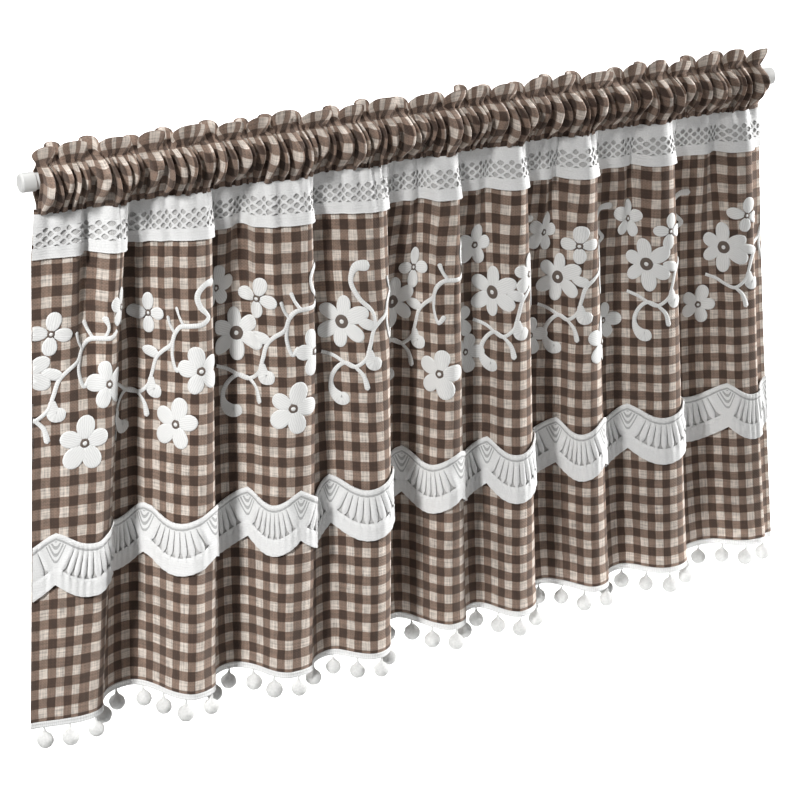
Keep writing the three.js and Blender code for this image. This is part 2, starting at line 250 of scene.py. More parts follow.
# Fine net in this lace: a line under the edge (place, half width), rounded rows at each peak, its darkness
NET_LINE = (0.115, 0.02)
PEAK_ROUND = 0.03
PEAK_ROWS = 45.0
PEAK_ROW_LEVEL = 0.05
PEAK_BAND = (0.53, 0.22)
PEAK_TOP = 0.15
NET_DIM = -0.42

# Heading: rolls of the gathered pocket, heights of its parts and the ruffle above it
HEADING_LEFT = 14.0
HEADING_RIGHT = ROD_LENGTH - HEADING_LEFT
GATHERS = 74
GATHER_STEPS = 12
GATHER_UNEVEN = 0.7
ROLL_DEPTH = 15.0
ROLL_UNEVEN = 0.34
ROLL_FILL = 0.46
ROLL_FILL_UNEVEN = 0.12
ROLL_BULGE = 0.13
ROLL_SHEAR = -0.06
ROLL_LEAN = 0.15
ROLL_BOW = 2.1
ROLL_SHIFT = 0.13
ROLL_SAG = 1.2
ROLL_ROUNDING = 0.8
ROLL_GROWTH = 0.25
ROLL_LEAN_Z = 18
# Soft crease askew down the face of each broad roll: depth, swing, turn, phase, half width, least breadth
ROLL_CREASE = 0.25
ROLL_CREASE_SWING = 0.22
ROLL_CREASE_TURN = 4.2
ROLL_CREASE_PHASE = 1.9
ROLL_CREASE_HALF = 0.4
ROLL_CREASE_FROM = 0.75
POCKET_TOP_Z = 11.6
POCKET_WALL = 1.1
POCKET_ROWS = 18
POCKET_CLEAR = 1.6
SEAM_FADE = 1.5
BACK_ROWS = 9
BACK_DEPTH = 0.6
# The pocket's wall in the gaps. Columns: share of the way from seam to stitch line, distance from the axis
POCKET_LINE = np.array([
    (0, 1.1), (0.2, 2.9), (0.4, 5.2), (0.56, 7.0), (0.69, 7.6),
    (0.8, 7.1), (0.88, 5.6), (0.95, 3.2), (1, 1.1)])
# How far the rolls stand out. Columns: share of the way from seam to stitch line, share of their depth
ROLL_SWELL = np.array([
    (0, 0.1), (0.08, 0.22), (0.2, 0.5), (0.35, 0.85), (0.5, 1),
    (0.7, 0.97), (0.84, 0.78), (0.94, 0.45), (1, 0.1)])
# The rolls' undersides, which curl back to the seam. Columns: share of depth, share of sag, drop in the gaps
ROLL_CURL = ((0.0, -0.06, 0.3), (0.3, 0.15, 0.2), (0.4, 0.75, 0.1))
FRILL_HEIGHT = 6.5
FRILL_FRONT_ROUND = 10.0
FRILL_BACK_ROUND = 7.2
FRILL_UNEVEN = 2.2
FRILL_SWING = 8.6
FRILL_BACK = 1.0
FRILL_PITCH = 29.0
FRILL_WANDERS = ((1.2, 31), (0.8, 14.7))
FRILL_LOOP = 3.4
FRILL_FRONT = 0.55
FRILL_GAP = 0.85
FRILL_ROWS = 6
FRILL_ROUNDING = 0.8
FRILL_SWING_UNEVEN = 0.2
FRILL_TURNING = 1.15
CLOTH_THICKNESS = 0.8

# Braid on the hem: height, grid, ribs and their relief, half its core, and how far it sits back
BRAID_TOP_Z = HEM_Z - 0.35
BRAID_HEIGHT = 5.5
BRAID_STEPS = 1290
BRAID_ROWS = 10
BRAID_RIB = 2.4
BRAID_SLANT = 2.2
BRAID_GROOVE = 0.35
BRAID_RELIEF = 0.55
BRAID_ROUNDING = 0.6
BRAID_CORE = 0.4
BRAID_SETBACK = 0.3

# Pompoms under the braid: balls, their stalks and loose fibres
POMPOMS = 44
POMPOM_RADIUS = 6.7
POMPOM_SIZES = (0.95, 1.06)
POMPOM_SWAY = 0.8
BALL_RINGS = 18
BALL_SEGMENTS = 26
# Lumps of the ball: height as a share of its radius, waves round it, waves down it
LUMPS = ((0.014, 5, 3), (0.012, 3, -7), (0.01, 2, 9))
# The ball's top is drawn up and narrowed to the stalk: share of its radius and half width in radians
DRAWN_UP = (0.34, 0.42)
NARROWED = (0.5, 0.5)
STALK_RADIUS = 0.8
STALK_DROP = 4.8
STALK_INSET = 0.8
STALK_SLACK = 0.5
STALK_SIDES = 6
STALK_STEPS = 6
FIBRE_HALF = 0.11
FIBRE_LENGTHS = (0.5, 1.35)
FIBRE_SPLAY = 0.55
FIBRE_ROOT = 0.3
FIBRE_TOP = 0.9
SEED = 7

# Embroidery chart: a repeat of a leafy vine with flowers, in millimetres right of and below its main flower
CHART_STARTS = (-7, 116, 260, 381, 486, 619, 737, 861, 985)
CHART_Z = -153.0
EVERY = range(len(CHART_STARTS))
# Columns: right, down, radius, petals, turn in degrees, repeats that have it
FLOWERS = [
    (0, 0, 23.0, 6, 4, (0, 2, 3, 4, 5, 6, 7, 8)),
    (21, -30, 16.5, 4, 6, (0, 1, 2, 4, 6, 7, 8)),
    (48, 61, 21.5, 5, 10, (0, 1, 2, 4, 6)),
    (70, 16, 20.0, 5, -14, (0, 1, 2)),
    (95, 24, 19.0, 5, -10, (4,)),
    (-36, -45, 17.5, 5, 8, (1,)),
    (-18, -41, 17.5, 5, 8, (2, 5, 6, 7)),
    (-28, 54, 18.0, 5, 20, (1, 5, 6, 8)),
    (-44, 51, 17.0, 5, 20, (7,)),
    (37, -15, 17.5, 5, 12, (5,)),
]
# Columns: places along the stem, width at its start, width at its end, radius of the drop at its end, repeats
STEMS = [
    (((-20, 25), (-10, 29), (0, 35), (9, 38), (19, 31), (23, 20), (27, 8), (34, 1), (43, -5), (47, -14),
      (53, -20), (63, -21), (72, -22), (79, -27)), 3.0, 4.0, 0.0, EVERY),
    (((72, -22), (79, -27), (71, -36), (69, -46), (76, -54), (87, -55)), 4.0, 4.8, 3.0, EVERY[1:]),
    (((9, 38), (0, 35), (-8, 40), (-13, 49), (-12, 59), (-5, 66), (2, 63)), 3.2, 4.6, 5.6, EVERY[:-1]),
    (((9, 38), (16, 46), (19, 58)), 3.0, 4.4, 2.4, EVERY),
    (((22, 24), (24, 35), (33, 34)), 3.0, 3.4, 5.8, EVERY),
    (((45, -8), (44, 4), (48, 16), (54, 10)), 3.0, 3.2, 2.2, EVERY),
    (((57, -20), (52, -28), (49, -36)), 2.8, 2.4, 1.6, EVERY),
    (((47, -14), (43, -21), (41, -29)), 2.6, 2.2, 1.4, (0, 1, 2, 6)),
    (((65, -21), (68, -30), (64, -39)), 3.0, 3.4, 2.2, (0, 5)),
    (((30, 4), (28, -8), (17, -20), (11, -34), (16, -46), (28, -47)), 3.2, 5.0, 4.6, (3,)),
]
# Columns: right and down of the foot, right and down of the tip, half width
LEAVES = [
    (30, 5, 14, -1, 4.6),
]

# A padded patch by rings: how far in from its outline each ring lies, and its share of the height
DOME_STEPS = {2: (0, 0.3), 3: (0, 0.12, 0.4), 4: (0, 0.06, 0.16, 0.5)}
DOME_RISES = (0, 0.75, 0.95, 1.0)
# Ridge across a stem: places from side to side in half widths, and their shares of the height
STEM_PLACES = np.array([-1, -0.7, 0, 0.7, 1])
STEM_RISES = np.array([0.05, 0.75, 1, 0.75, 0.05])
STEM_STEPS = 12
# A stem swells to the drop at its end: where the swelling is full, and over how many radii of the drop
SWELL_FULL = 1.35
SWELL_SPAN = 3.4
# Heights of the padding, in millimetres
FLOSS_EDGE = 0.05
PETAL_RISE = 0.5
EYE_RISE = 0.8
KNOT_RISE = 1.2
STEM_RISE = 0.6
# Flowers by number of petals: half width of a petal and radius of the eye, as shares of the flower's radius
PETAL_HALF = {4: 0.335, 5: 0.345, 6: 0.28}
EYE_RADIUS = {4: 0.19, 5: 0.19, 6: 0.28}
KNOT_RADIUS = 0.11
EYE_SIDES = 24
PETAL_PLACE = 0.57
PETAL_LENGTH = 0.9
PETAL_EGG = 0.12
PETAL_UNEVEN = 0.1
FLOWER_SWING = 9

EMBROIDERY = ("embroidered_flowers", "embroidered_stems", "flower_eyes")
HEM_TRIM = ("ribbed_braid", "pompoms")

# Camera of the photograph: place in metres, turn and pitch in degrees, focal length on a 36 mm sensor
CAMERA_PLACE = (-0.6316, -1.6924, 0.5073)
CAMERA_TURN = 29.506
CAMERA_PITCH = 20.862
CAMERA_LENS = 111.6
SENSOR_WIDTH = 36.0

# Floor: half its side in metres, and its steps
FLOOR_HALF = 30.0
FLOOR_STEPS = 12
# Softboxes. Columns: name, setting with its power, place, target and size in metres, spread in degrees
LIGHTS = (
    ("key_light", "key", (-1.26, -1.08, 1.05), (-0.02, 0.0, -0.34), (0.24, 0.5), 42),
    ("edge_light", "edge", (2.95, -0.4, 0.3), (0.35, 0.0, -0.22), (0.3, 1.0), 50),
    ("fill_light", "fill", (1.45, -1.95, 0.35), (0.62, 0.0, -0.2), (0.5, 0.5), 26),
    ("low_light", "low", (-0.58, -1.65, -0.78), (0.35, 0.0, -0.55), (1.0, 0.05), 7),
    ("floor_light", "back", (2.6, 4.6, 3.0), (2.6, 4.61, -1.6), (8.0, 8.0), 80),
)


def linear(code):
    """Linear RGBA of an sRGB hex colour."""
    values = [int(code[i:i + 2], 16) / 255 for i in (1, 3, 5)]
    return (*[v / 12.92 if v <= 0.04045 else ((v + 0.055) / 1.055) ** 2.4 for v in values], 1.0)


class CurtainCloth(PropertyGroup):
    """Gingham of the heading and the panel."""

    check_across: FloatProperty(
        name="Check across", description="Width of one check", default=7.4 * MM, unit="LENGTH", precision=4)
    check_down: FloatProperty(
        name="Check down", description="Height of one check", default=8.55 * MM, unit="LENGTH", precision=4)
    thread: FloatProperty(
        name="Thread", description="Pitch of the drawn threads", default=1.3 * MM, unit="LENGTH", precision=4)
    dark: FloatVectorProperty(
        name="Dark check", description="Both yarns dark", subtype="COLOR", size=4, default=linear("#3a2a22"))
    middle: FloatVectorProperty(
        name="Middle check", description="One dark yarn", subtype="COLOR", size=4, default=linear("#7c685b"))
    light: FloatVectorProperty(
        name="Light check", description="Both yarns light", subtype="COLOR", size=4,
        default=linear("#c8beb4"))


class CurtainTrim(PropertyGroup):
    """Laces, embroidery, braid and pompoms."""

    lace: FloatVectorProperty(
        name="Lace", description="Bleached cotton", subtype="COLOR", size=4, default=linear("#e5e5e4"))
    floss: FloatVectorProperty(
        name="Floss", description="Embroidery thread", subtype="COLOR", size=4, default=linear("#e8e8e6"))
    yarn: FloatVectorProperty(
        name="Yarn", description="Pompoms", subtype="COLOR", size=4, default=linear("#d8d8d6"))
    fibres: IntProperty(
        name="Fibres", description="Loose fibres on each pompom", default=520, min=0, max=1500)


class CurtainRod(PropertyGroup):
    """Rod and end caps."""

    enamel: FloatVectorProperty(
        name="Rod", description="Enamelled tube", subtype="COLOR", size=4, default=linear("#d6d6d4"))
    plastic: FloatVectorProperty(
        name="Caps", description="Moulded caps", subtype="COLOR", size=4, default=linear("#c9c9c7"))


class CurtainStage(PropertyGroup):
    """Floor and studio light."""

    floor: FloatVectorProperty(
        name="Floor", description="Pale floor", subtype="COLOR", size=4, default=linear("#fbfbfb"))
    floor_height: FloatProperty(
        name="Floor height", description="Height of the floor", default=-1.6, unit="LENGTH")
    sky: FloatProperty(name="Room", description="Strength of the even light of the room", default=0.13)
    key: FloatProperty(name="Key", description="Power of the soft light on the left", default=3.5)
    edge: FloatProperty(name="Edge", description="Power of the soft light on the right", default=10.0)
    fill: FloatProperty(name="Fill", description="Power of the soft light on the right half", default=0.22)
    low: FloatProperty(name="Low", description="Power of the strip light along the hem", default=0.6)
    back: FloatProperty(name="Back", description="Power of the light on the floor behind", default=500.0)
    glow: FloatProperty(name="Glow", description="Light that comes through the floor paper", default=0.1)


def smooth(share):
    """Soft step from 0 to 1."""
    t = np.clip(share, 0, 1)
    return t * t * (3 - 2 * t)


def bell(offset, half):
    """Bell curve: 1 in the middle, about a third at the half width."""
    return np.exp(-((offset / half) ** 2))


def unit(vectors):
    """The same directions with length 1."""
    return vectors / np.linalg.norm(vectors, axis=-1, keepdims=True)


def drop_share(height):
    """Share of the way down from the lace band's foot to the hem."""
    return (BAND_BOTTOM_Z - height) / (BAND_BOTTOM_Z - HEM_Z)


def seam_share(height):
    """Share of the folds' depth, which grows from the seam to the lace band's foot."""
    return SEAM_SHARE + (1 - SEAM_SHARE) * np.clip((SEAM_Z - height) / (SEAM_Z - BAND_BOTTOM_Z), 0, 1)


def tuck_depth(x, height):
    """How far the tucks push the cloth back at places on one height."""
    first, last = FOLD_TURNS[0], FOLD_TURNS[-1]
    depth = np.zeros_like(x)
    for tuck_x, full, half_width, reach in TUCKS:
        across = (tuck_x - first[0]) / (last[0] - first[0])
        hem_x = first[2] + (last[2] - first[2]) * across
        centre = tuck_x + (hem_x - tuck_x) * drop_share(height)
        fade = smooth(1 - (BAND_BOTTOM_Z - height) / reach)
        width = half_width * (1 + TUCK_SPREAD * (1 - fade))
        depth += full * fade * seam_share(height) * bell(x - centre, width)
    return depth


def plan_line(height):
    """Plan line of the cloth at one height: round turns joined by flanks, with the tucks pressed in."""
    drop = drop_share(height)
    growth = 1 - (1 - np.clip(drop, 0, 1)) ** FOLD_GROWTH
    x = FOLD_TURNS[:, 0] + (FOLD_TURNS[:, 2] - FOLD_TURNS[:, 0]) * drop
    y = (FOLD_TURNS[:, 1] + (FOLD_TURNS[:, 3] - FOLD_TURNS[:, 1]) * growth) * seam_share(height)
    t = np.linspace(0, 1, FLANK_STEPS, endpoint=False)
    points = []
    for i in range(len(x) - 1):
        reach = (BACK_FLANK if y[i + 1] > y[i] else FRONT_FLANK) * (x[i + 1] - x[i])
        bend = 3 * t * (1 - t) ** 2, 3 * t ** 2 * (1 - t)
        along = (x[i] * (1 - t) ** 3 + (x[i] + reach) * bend[0]
                 + (x[i + 1] - reach) * bend[1] + x[i + 1] * t ** 3)
        deep = y[i] + (y[i + 1] - y[i]) * smooth(t)
        points.append(np.stack([along, deep], axis=1))
    line = np.vstack([*points, [[x[-1], y[-1]]]])
    line[:, 1] += tuck_depth(line[:, 0], height)
    return line


def lengths_along(line):
    """Length along a line up to each of its points."""
    return np.concatenate([[0], np.cumsum(np.linalg.norm(np.diff(line, axis=0), axis=1))])


def arc_share(line):
    """Length along a line up to each point, as a share of the whole."""
    lengths = lengths_along(line)
    return lengths / lengths[-1]


def cloth_row(height, shares, drift):
    """Plan points of the cloth's columns at one height, and the step along the folds of each."""
    line = plan_line(height)
    steps = np.arange(len(line))
    own = np.interp(shares, arc_share(line), steps)
    at = own + (np.interp(shares, drift, steps) - own) * COLUMN_DRIFT
    plan = np.stack([np.interp(at, steps, line[:, k]) for k in (0, 1)], axis=1)
    return plan, at


def grid_normals(points):
    """Front normals of a grid of points whose rows go down and columns go right."""
    right = np.gradient(points, axis=1)
    down = np.gradient(points, axis=0)
    return unit(np.cross(down, right))


def soft_creases(across, heights, steps):
    """Small shape of the cloth over its folds: gathering pleats, ripples, fold edges and creases."""
    below = np.clip(SEAM_Z - heights, 0, None)
    wander = PLEAT_WANDER * np.sin(across / PLEAT_WANDER_SPAN)
    slant = PLEAT_SLANT * np.sin(heights / PLEAT_SLANT_SPAN)
    phase = 2 * np.pi * across / PLEAT_PITCH + wander + slant
    pleats = PLEAT_HEIGHT * np.exp(-below / PLEAT_REACH) * np.sin(phase)
    pleats = pleats * (1 - PLEAT_FADE + PLEAT_FADE * np.sin(across / PLEAT_FADE_SPAN))
    wander = RIPPLE_WANDER * np.sin(across / RIPPLE_SPAN_ACROSS + heights / RIPPLE_SPAN_DOWN)
    phase = 2 * np.pi * across / RIPPLE_PITCH + wander
    ripples = RIPPLE_HEIGHT * np.sin(phase) * smooth(below / RIPPLE_FULL)
    fold = (steps - EDGE_STEP) / FLANK_STEPS
    from_edge = (fold - 1 - 2 * np.round((fold - 1) / 2)) * FLANK_STEPS
    edge_width = np.where(from_edge < 0, EDGE_FLANK_WIDTH, EDGE_RECESS_WIDTH)
    edges = EDGE_HEIGHT * bell(from_edge, edge_width) * smooth(below / EDGE_FULL)
    shape = pleats + ripples + edges
    for upper_x, upper_z, lower_x, lower_z, half, rise in CREASES:
        share = (upper_z - heights) / (upper_z - lower_z)
        ends = smooth(CREASE_START * share) * smooth(CREASE_END * (1 - share))
        centre = upper_x + (lower_x - upper_x) * share
        shape = shape + rise * ends * bell(across - centre, half)
    return shape


class HungCloth:
    """The hung surface by flat place: millimetres across the cut cloth, and height below the rod's axis."""

    def __init__(self):
        self.heights = np.linspace(GRID_TOP_Z, GRID_BOTTOM_Z, GRID_DOWN + 1)
        shares = np.linspace(0, 1, GRID_ACROSS + 1)
        drift = arc_share(plan_line(DRIFT_Z))
        rows = [cloth_row(max(z, HEM_Z), shares, drift) for z in self.heights]
        plan = np.stack([row[0] for row in rows])
        steps = np.stack([row[1] for row in rows])
        tall = np.broadcast_to(self.heights[:, None], steps.shape)
        points = np.dstack([plan, tall])
        across = np.broadcast_to(shares * FLAT_WIDTH, steps.shape)
        points = points + grid_normals(points) * soft_creases(across, tall, steps)[..., None]
        self.points = points
        self.normals = grid_normals(points)

    def at(self, across, height, off=0.0):
        """Points on the cloth's front at flat places, moved off it towards the front."""
        column = np.clip(np.asarray(across, float) / FLAT_WIDTH, 0, 1) * GRID_ACROSS
        row = (np.asarray(height, float) - GRID_TOP_Z) / (GRID_BOTTOM_Z - GRID_TOP_Z) * GRID_DOWN
        row = np.clip(row, 0, GRID_DOWN)
        i = np.minimum(row.astype(int), GRID_DOWN - 1)
        j = np.minimum(column.astype(int), GRID_ACROSS - 1)
        down, right = (row - i)[..., None], (column - j)[..., None]

        def blend(grid):
            """Value of a grid between its points."""
            upper = grid[i, j] * (1 - right) + grid[i, j + 1] * right
            lower = grid[i + 1, j] * (1 - right) + grid[i + 1, j + 1] * right
            return upper * (1 - down) + lower * down

        return blend(self.points) + blend(self.normals) * np.asarray(off, float)[..., None]


CLOTH = HungCloth()


def grid_faces(rows, columns, skip=None):
    """Quads of a grid of points whose rows go down and columns go right, facing the front."""
    row, column = np.meshgrid(np.arange(rows), np.arange(columns), indexing="ij")
    if skip is not None:
        keep = ~skip
        row, column = row[keep], column[keep]
    corner = (row * (columns + 1) + column).ravel()
    return np.stack([corner + columns + 1, corner + columns + 2, corner + 1, corner], axis=1).tolist()


def ring_faces(rings, count, start=0):
    """Quads between closed rings of as many points each, which follow one another from a first point."""
    faces = []
    for ring in range(rings - 1):
        for k in range(count):
            a = start + ring * count + k
            b = start + ring * count + (k + 1) % count
            faces.append([a, b, b + count, a + count])
    return faces


def shifted(faces, count):
    """The same faces for points that come after others."""
    return [[k + count for k in face] for face in faces]


def thick_sheet(front, back, faces):
    """Points and faces of a closed sheet: front, back, and walls along every free edge."""
    front, back = front.reshape(-1, 3), back.reshape(-1, 3)
    shift = len(front)
    edges = {(face[k - 1], face[k]) for face in faces for k in range(len(face))}
    walls = [[b, a, a + shift, b + shift] for a, b in edges if (b, a) not in edges]
    behind = [[k + shift for k in reversed(face)] for face in faces]
    return np.vstack([front, back]), faces + behind + walls


def make_piece(name, points, faces, material, flat=None, lobe=None, sharp=None):
    """A mesh piece that rides with the curtain, in millimetres; a sheet's back has its front's places."""
    mesh = bpy.data.meshes.new(name)
    mesh.from_pydata((np.asarray(points) * MM).tolist(), [], faces)
    mesh.update()
    corners = np.zeros(len(mesh.loops), np.int32)
    mesh.loops.foreach_get("vertex_index", corners)
    for layer_name, places in (("flat", flat), ("lobe", lobe)):
        if places is None:
            continue
        places = places.reshape(-1, 2)
        layer = mesh.uv_layers.new(name=layer_name)
        at_corners = places[corners % len(places)] * MM
        layer.uv.foreach_set("vector", at_corners.astype(np.float32).ravel())
    mesh.shade_smooth()
    if sharp is not None:
        mesh.set_sharp_from_angle(angle=math.radians(sharp))
    mesh.materials.append(material)
    piece = bpy.data.objects.new(name, mesh)
    bpy.context.scene.collection.objects.link(piece)
    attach(piece, BODY)
    return piece


def add_node(tree, kind, inputs=None, **settings):
    """Adds a node with its settings; an input is a value, a socket, or a node that gives its first output."""
    node = tree.nodes.new(kind)
    for name, value in settings.items():
        setattr(node, name, value)
    for name, value in (inputs or {}).items():
        if isinstance(value, bpy.types.Node):
            value = value.outputs[0]
        if isinstance(value, bpy.types.NodeSocket):
            tree.links.new(value, node.inputs[name])
        else:
            node.inputs[name].default_value = value
    return node


def new_material(name):
    """An empty node material, and its tree."""
    material = bpy.data.materials.new(name)
    material.use_nodes = True
    material.node_tree.nodes.clear()
    return material, material.node_tree


def gingham_material(cloth):
    """Yarn-dyed linen gingham in a plain weave: uneven threads give slubs both ways and a matt face."""
    material, tree = new_material("Linen gingham")
    flat = add_node(tree, "ShaderNodeUVMap", uv_map="flat")

    # The checks' edges wander by about half a millimetre
    wander = add_node(tree, "ShaderNodeTexNoise", {
        "Vector": flat, "Scale": 1 / (9 * MM), "Detail": 2.0}, noise_dimensions="2D")
    moved = add_node(tree, "ShaderNodeVectorMath", {
        0: wander.outputs["Color"], 1: (0.9 * MM, 0.9 * MM, 0), 2: flat}, operation="MULTIPLY_ADD")
    place = add_node(tree, "ShaderNodeSeparateXYZ", {"Vector": moved})
    plain = add_node(tree, "ShaderNodeSeparateXYZ", {"Vector": flat})

    # Threads are drawn 1.3 mm wide, coarser than real ones, so that they show
    yarns, threads = [], []
    for axis, check in (("X", cloth.check_across), ("Y", cloth.check_down)):
        waves = []
        for source, pitch in ((place, check), (plain, cloth.thread)):
            turn = add_node(tree, "ShaderNodeMath", {
                0: source.outputs[axis], 1: math.pi / pitch}, operation="MULTIPLY")
            waves.append(add_node(tree, "ShaderNodeMath", {0: turn}, operation="SINE"))
        yarns.append(add_node(tree, "ShaderNodeMapRange", {
            "Value": waves[0], "From Min": -0.16, "From Max": 0.16}, interpolation_type="SMOOTHSTEP"))
        threads.append(waves[1])

    # Slubs: thick and thin places 1.5 mm wide and 20 mm long, along the warp and along the weft
    slubs = []
    for across, down in ((1.5, 20), (20, 1.5)):
        spread = add_node(tree, "ShaderNodeVectorMath", {
            0: flat, 1: (1 / (across * MM), 1 / (down * MM), 0)}, operation="MULTIPLY")
        slubs.append(add_node(tree, "ShaderNodeTexNoise", {
            "Vector": spread, "Scale": 1.0, "Detail": 3.0, "Roughness": 0.6}, noise_dimensions="2D"))
    slub = add_node(tree, "ShaderNodeMath", {0: slubs[0], 1: slubs[1]}, operation="ADD")

    # Plain weave: by turns the warp or the weft lies on top, which shows where one of them is dark
    over = add_node(tree, "ShaderNodeMath", {0: threads[0], 1: threads[1]}, operation="MULTIPLY")
    both = add_node(tree, "ShaderNodeMath", {0: yarns[0], 1: yarns[1]}, operation="ADD")
    differ = add_node(tree, "ShaderNodeMath", {0: yarns[0], 1: yarns[1]}, operation="SUBTRACT")
    weave = add_node(tree, "ShaderNodeMath", {0: over, 1: 0.3}, operation="MULTIPLY")
    mixed = add_node(tree, "ShaderNodeMath", {0: differ, 1: weave}, operation="MULTIPLY")
    mixed_slub = add_node(tree, "ShaderNodeMath", {0: mixed, 1: slub}, operation="ADD")
    depth = add_node(tree, "ShaderNodeMath", {0: mixed_slub, 1: 0.3, 2: both}, operation="MULTIPLY_ADD")
    tone = add_node(tree, "ShaderNodeMapRange", {"Value": depth, "From Min": 0.3, "From Max": 2.3})
    ramp = add_node(tree, "ShaderNodeValToRGB", {"Fac": tone})
    ramp.color_ramp.elements[0].color = cloth.light
    ramp.color_ramp.elements[1].color = cloth.dark
    ramp.color_ramp.elements.new(0.5).color = cloth.middle

    streak = add_node(tree, "ShaderNodeMapRange", {
        "Value": slub, "From Min": 0.6, "From Max": 1.4, "To Min": 0.45, "To Max": 1.55})
    colour = add_node(tree, "ShaderNodeVectorMath", {0: ramp, "Scale": streak}, operation="SCALE")
    relief = add_node(tree, "ShaderNodeMath", {0: slub, 1: over}, operation="ADD")
    bump = add_node(tree, "ShaderNodeBump", {"Height": relief, "Strength": 0.55, "Distance": 0.16 * MM})
    shader = add_node(tree, "ShaderNodeBsdfPrincipled", {
        "Base Color": colour, "Normal": bump, "Roughness": 0.88, "Sheen Weight": 0.26,
        "Sheen Roughness": 0.7, "Sheen Tint": linear("#f0dccd"), "Specular IOR Level": 0.25})
    add_node(tree, "ShaderNodeOutputMaterial", {"Surface": shader})
    return material


def lace_material(trim, lobes=False):
    """Bleached cotton lace, twisted threads worked close: white, matt, with a fine grain of thread."""
    material, tree = new_material("Cotton lace with fans" if lobes else "Cotton lace")
    flat = add_node(tree, "ShaderNodeUVMap", uv_map="flat")
    # Thread grain 0.9 mm wide, drawn a little coarser than real thread so that it shows
    grain = add_node(tree, "ShaderNodeTexNoise", {
        "Vector": flat, "Scale": 1 / (0.9 * MM), "Detail": 2.0}, noise_dimensions="2D")
    rows = add_node(tree, "ShaderNodeTexWave", {
        "Vector": flat, "Scale": 1 / (7 * MM), "Distortion": 1.5, "Detail": 1.0}, bands_direction="Y")
    height = add_node(tree, "ShaderNodeMath", {0: grain, 1: rows.outputs["Fac"]}, operation="ADD")
    bump = add_node(tree, "ShaderNodeBump", {"Height": height, "Strength": 0.5, "Distance": 0.18 * MM})
    tint = add_node(tree, "ShaderNodeMapRange", {
        "Value": grain, "From Min": 0.3, "From Max": 0.7, "To Min": 0.9, "To Max": 1.03})
    if lobes:
        # Fine net between cords lets the ground through: a line under the edge, rounded rows at each peak
        lobe = add_node(tree, "ShaderNodeUVMap", uv_map="lobe")
        place = add_node(tree, "ShaderNodeSeparateXYZ", {"Vector": lobe})
        down = add_node(tree, "ShaderNodeMath", {0: place.outputs["Y"], 1: 1 / MM}, operation="MULTIPLY")
        aside = add_node(tree, "ShaderNodeMath", {0: place.outputs["X"], 1: 2 / MM}, operation="MULTIPLY")
        rounded = add_node(tree, "ShaderNodeMath", {
            0: aside, 1: aside, 2: PEAK_ROUND}, operation="MULTIPLY_ADD")
        bowed = add_node(tree, "ShaderNodeMath", {0: rounded}, operation="SQRT")
        line = add_node(tree, "ShaderNodeMath", {
            0: down, 1: NET_LINE[0], 2: NET_LINE[1]}, operation="COMPARE")
        slope = add_node(tree, "ShaderNodeMath", {0: bowed, 1: down}, operation="ADD")
        turn = add_node(tree, "ShaderNodeMath", {0: slope, 1: PEAK_ROWS}, operation="MULTIPLY")
        wave = add_node(tree, "ShaderNodeMath", {0: turn}, operation="SINE")
        row = add_node(tree, "ShaderNodeMath", {0: wave, 1: PEAK_ROW_LEVEL}, operation="GREATER_THAN")
        within = add_node(tree, "ShaderNodeMath", {
            0: slope, 1: PEAK_BAND[0], 2: PEAK_BAND[1]}, operation="COMPARE")
        below = add_node(tree, "ShaderNodeMath", {0: down, 1: PEAK_TOP}, operation="GREATER_THAN")
        motif = add_node(tree, "ShaderNodeMath", {0: row, 1: within}, operation="MULTIPLY")
        motif = add_node(tree, "ShaderNodeMath", {0: motif, 1: below}, operation="MULTIPLY")
        net = add_node(tree, "ShaderNodeMath", {0: motif, 1: line}, operation="MAXIMUM")
        tint = add_node(tree, "ShaderNodeMath", {0: net, 1: NET_DIM, 2: tint}, operation="MULTIPLY_ADD")
    colour = add_node(tree, "ShaderNodeVectorMath", {0: trim.lace[:3], "Scale": tint}, operation="SCALE")
    shader = add_node(tree, "ShaderNodeBsdfPrincipled", {
        "Base Color": colour, "Normal": bump, "Roughness": 0.8,
        "Sheen Weight": 0.1, "Specular IOR Level": 0.3})
    add_node(tree, "ShaderNodeOutputMaterial", {"Surface": shader})
    return material


def shaded_tulle_material():
    """Cotton tulle, a net too fine to see through from a step away: greyer than the lace in front of it, a
    grey that is painted shade of the laces' holes.
    """
    material, tree = new_material("Cotton tulle")
    flat = add_node(tree, "ShaderNodeUVMap", uv_map="flat")
    # Meshes 0.9 mm apart, drawn a little coarser than real tulle so that they show
    meshes = add_node(tree, "ShaderNodeTexVoronoi", {
        "Vector": flat, "Scale": 1 / (0.9 * MM)}, voronoi_dimensions="2D", feature="DISTANCE_TO_EDGE")
    # Painted shade: the tulle is coloured grey for the shade inside the laces' holes; its meshes are darker
    # than its threads
    ramp = add_node(tree, "ShaderNodeValToRGB", {"Fac": meshes.outputs["Distance"]})
    ramp.color_ramp.elements[0].color = linear("#d4d4d3")
    ramp.color_ramp.elements[1].color = linear("#9f9c9a")
    ramp.color_ramp.elements[1].position = 0.35
    shader = add_node(tree, "ShaderNodeBsdfPrincipled", {
        "Base Color": ramp, "Roughness": 0.9, "Specular IOR Level": 0.2})
    add_node(tree, "ShaderNodeOutputMaterial", {"Surface": shader})
    return material


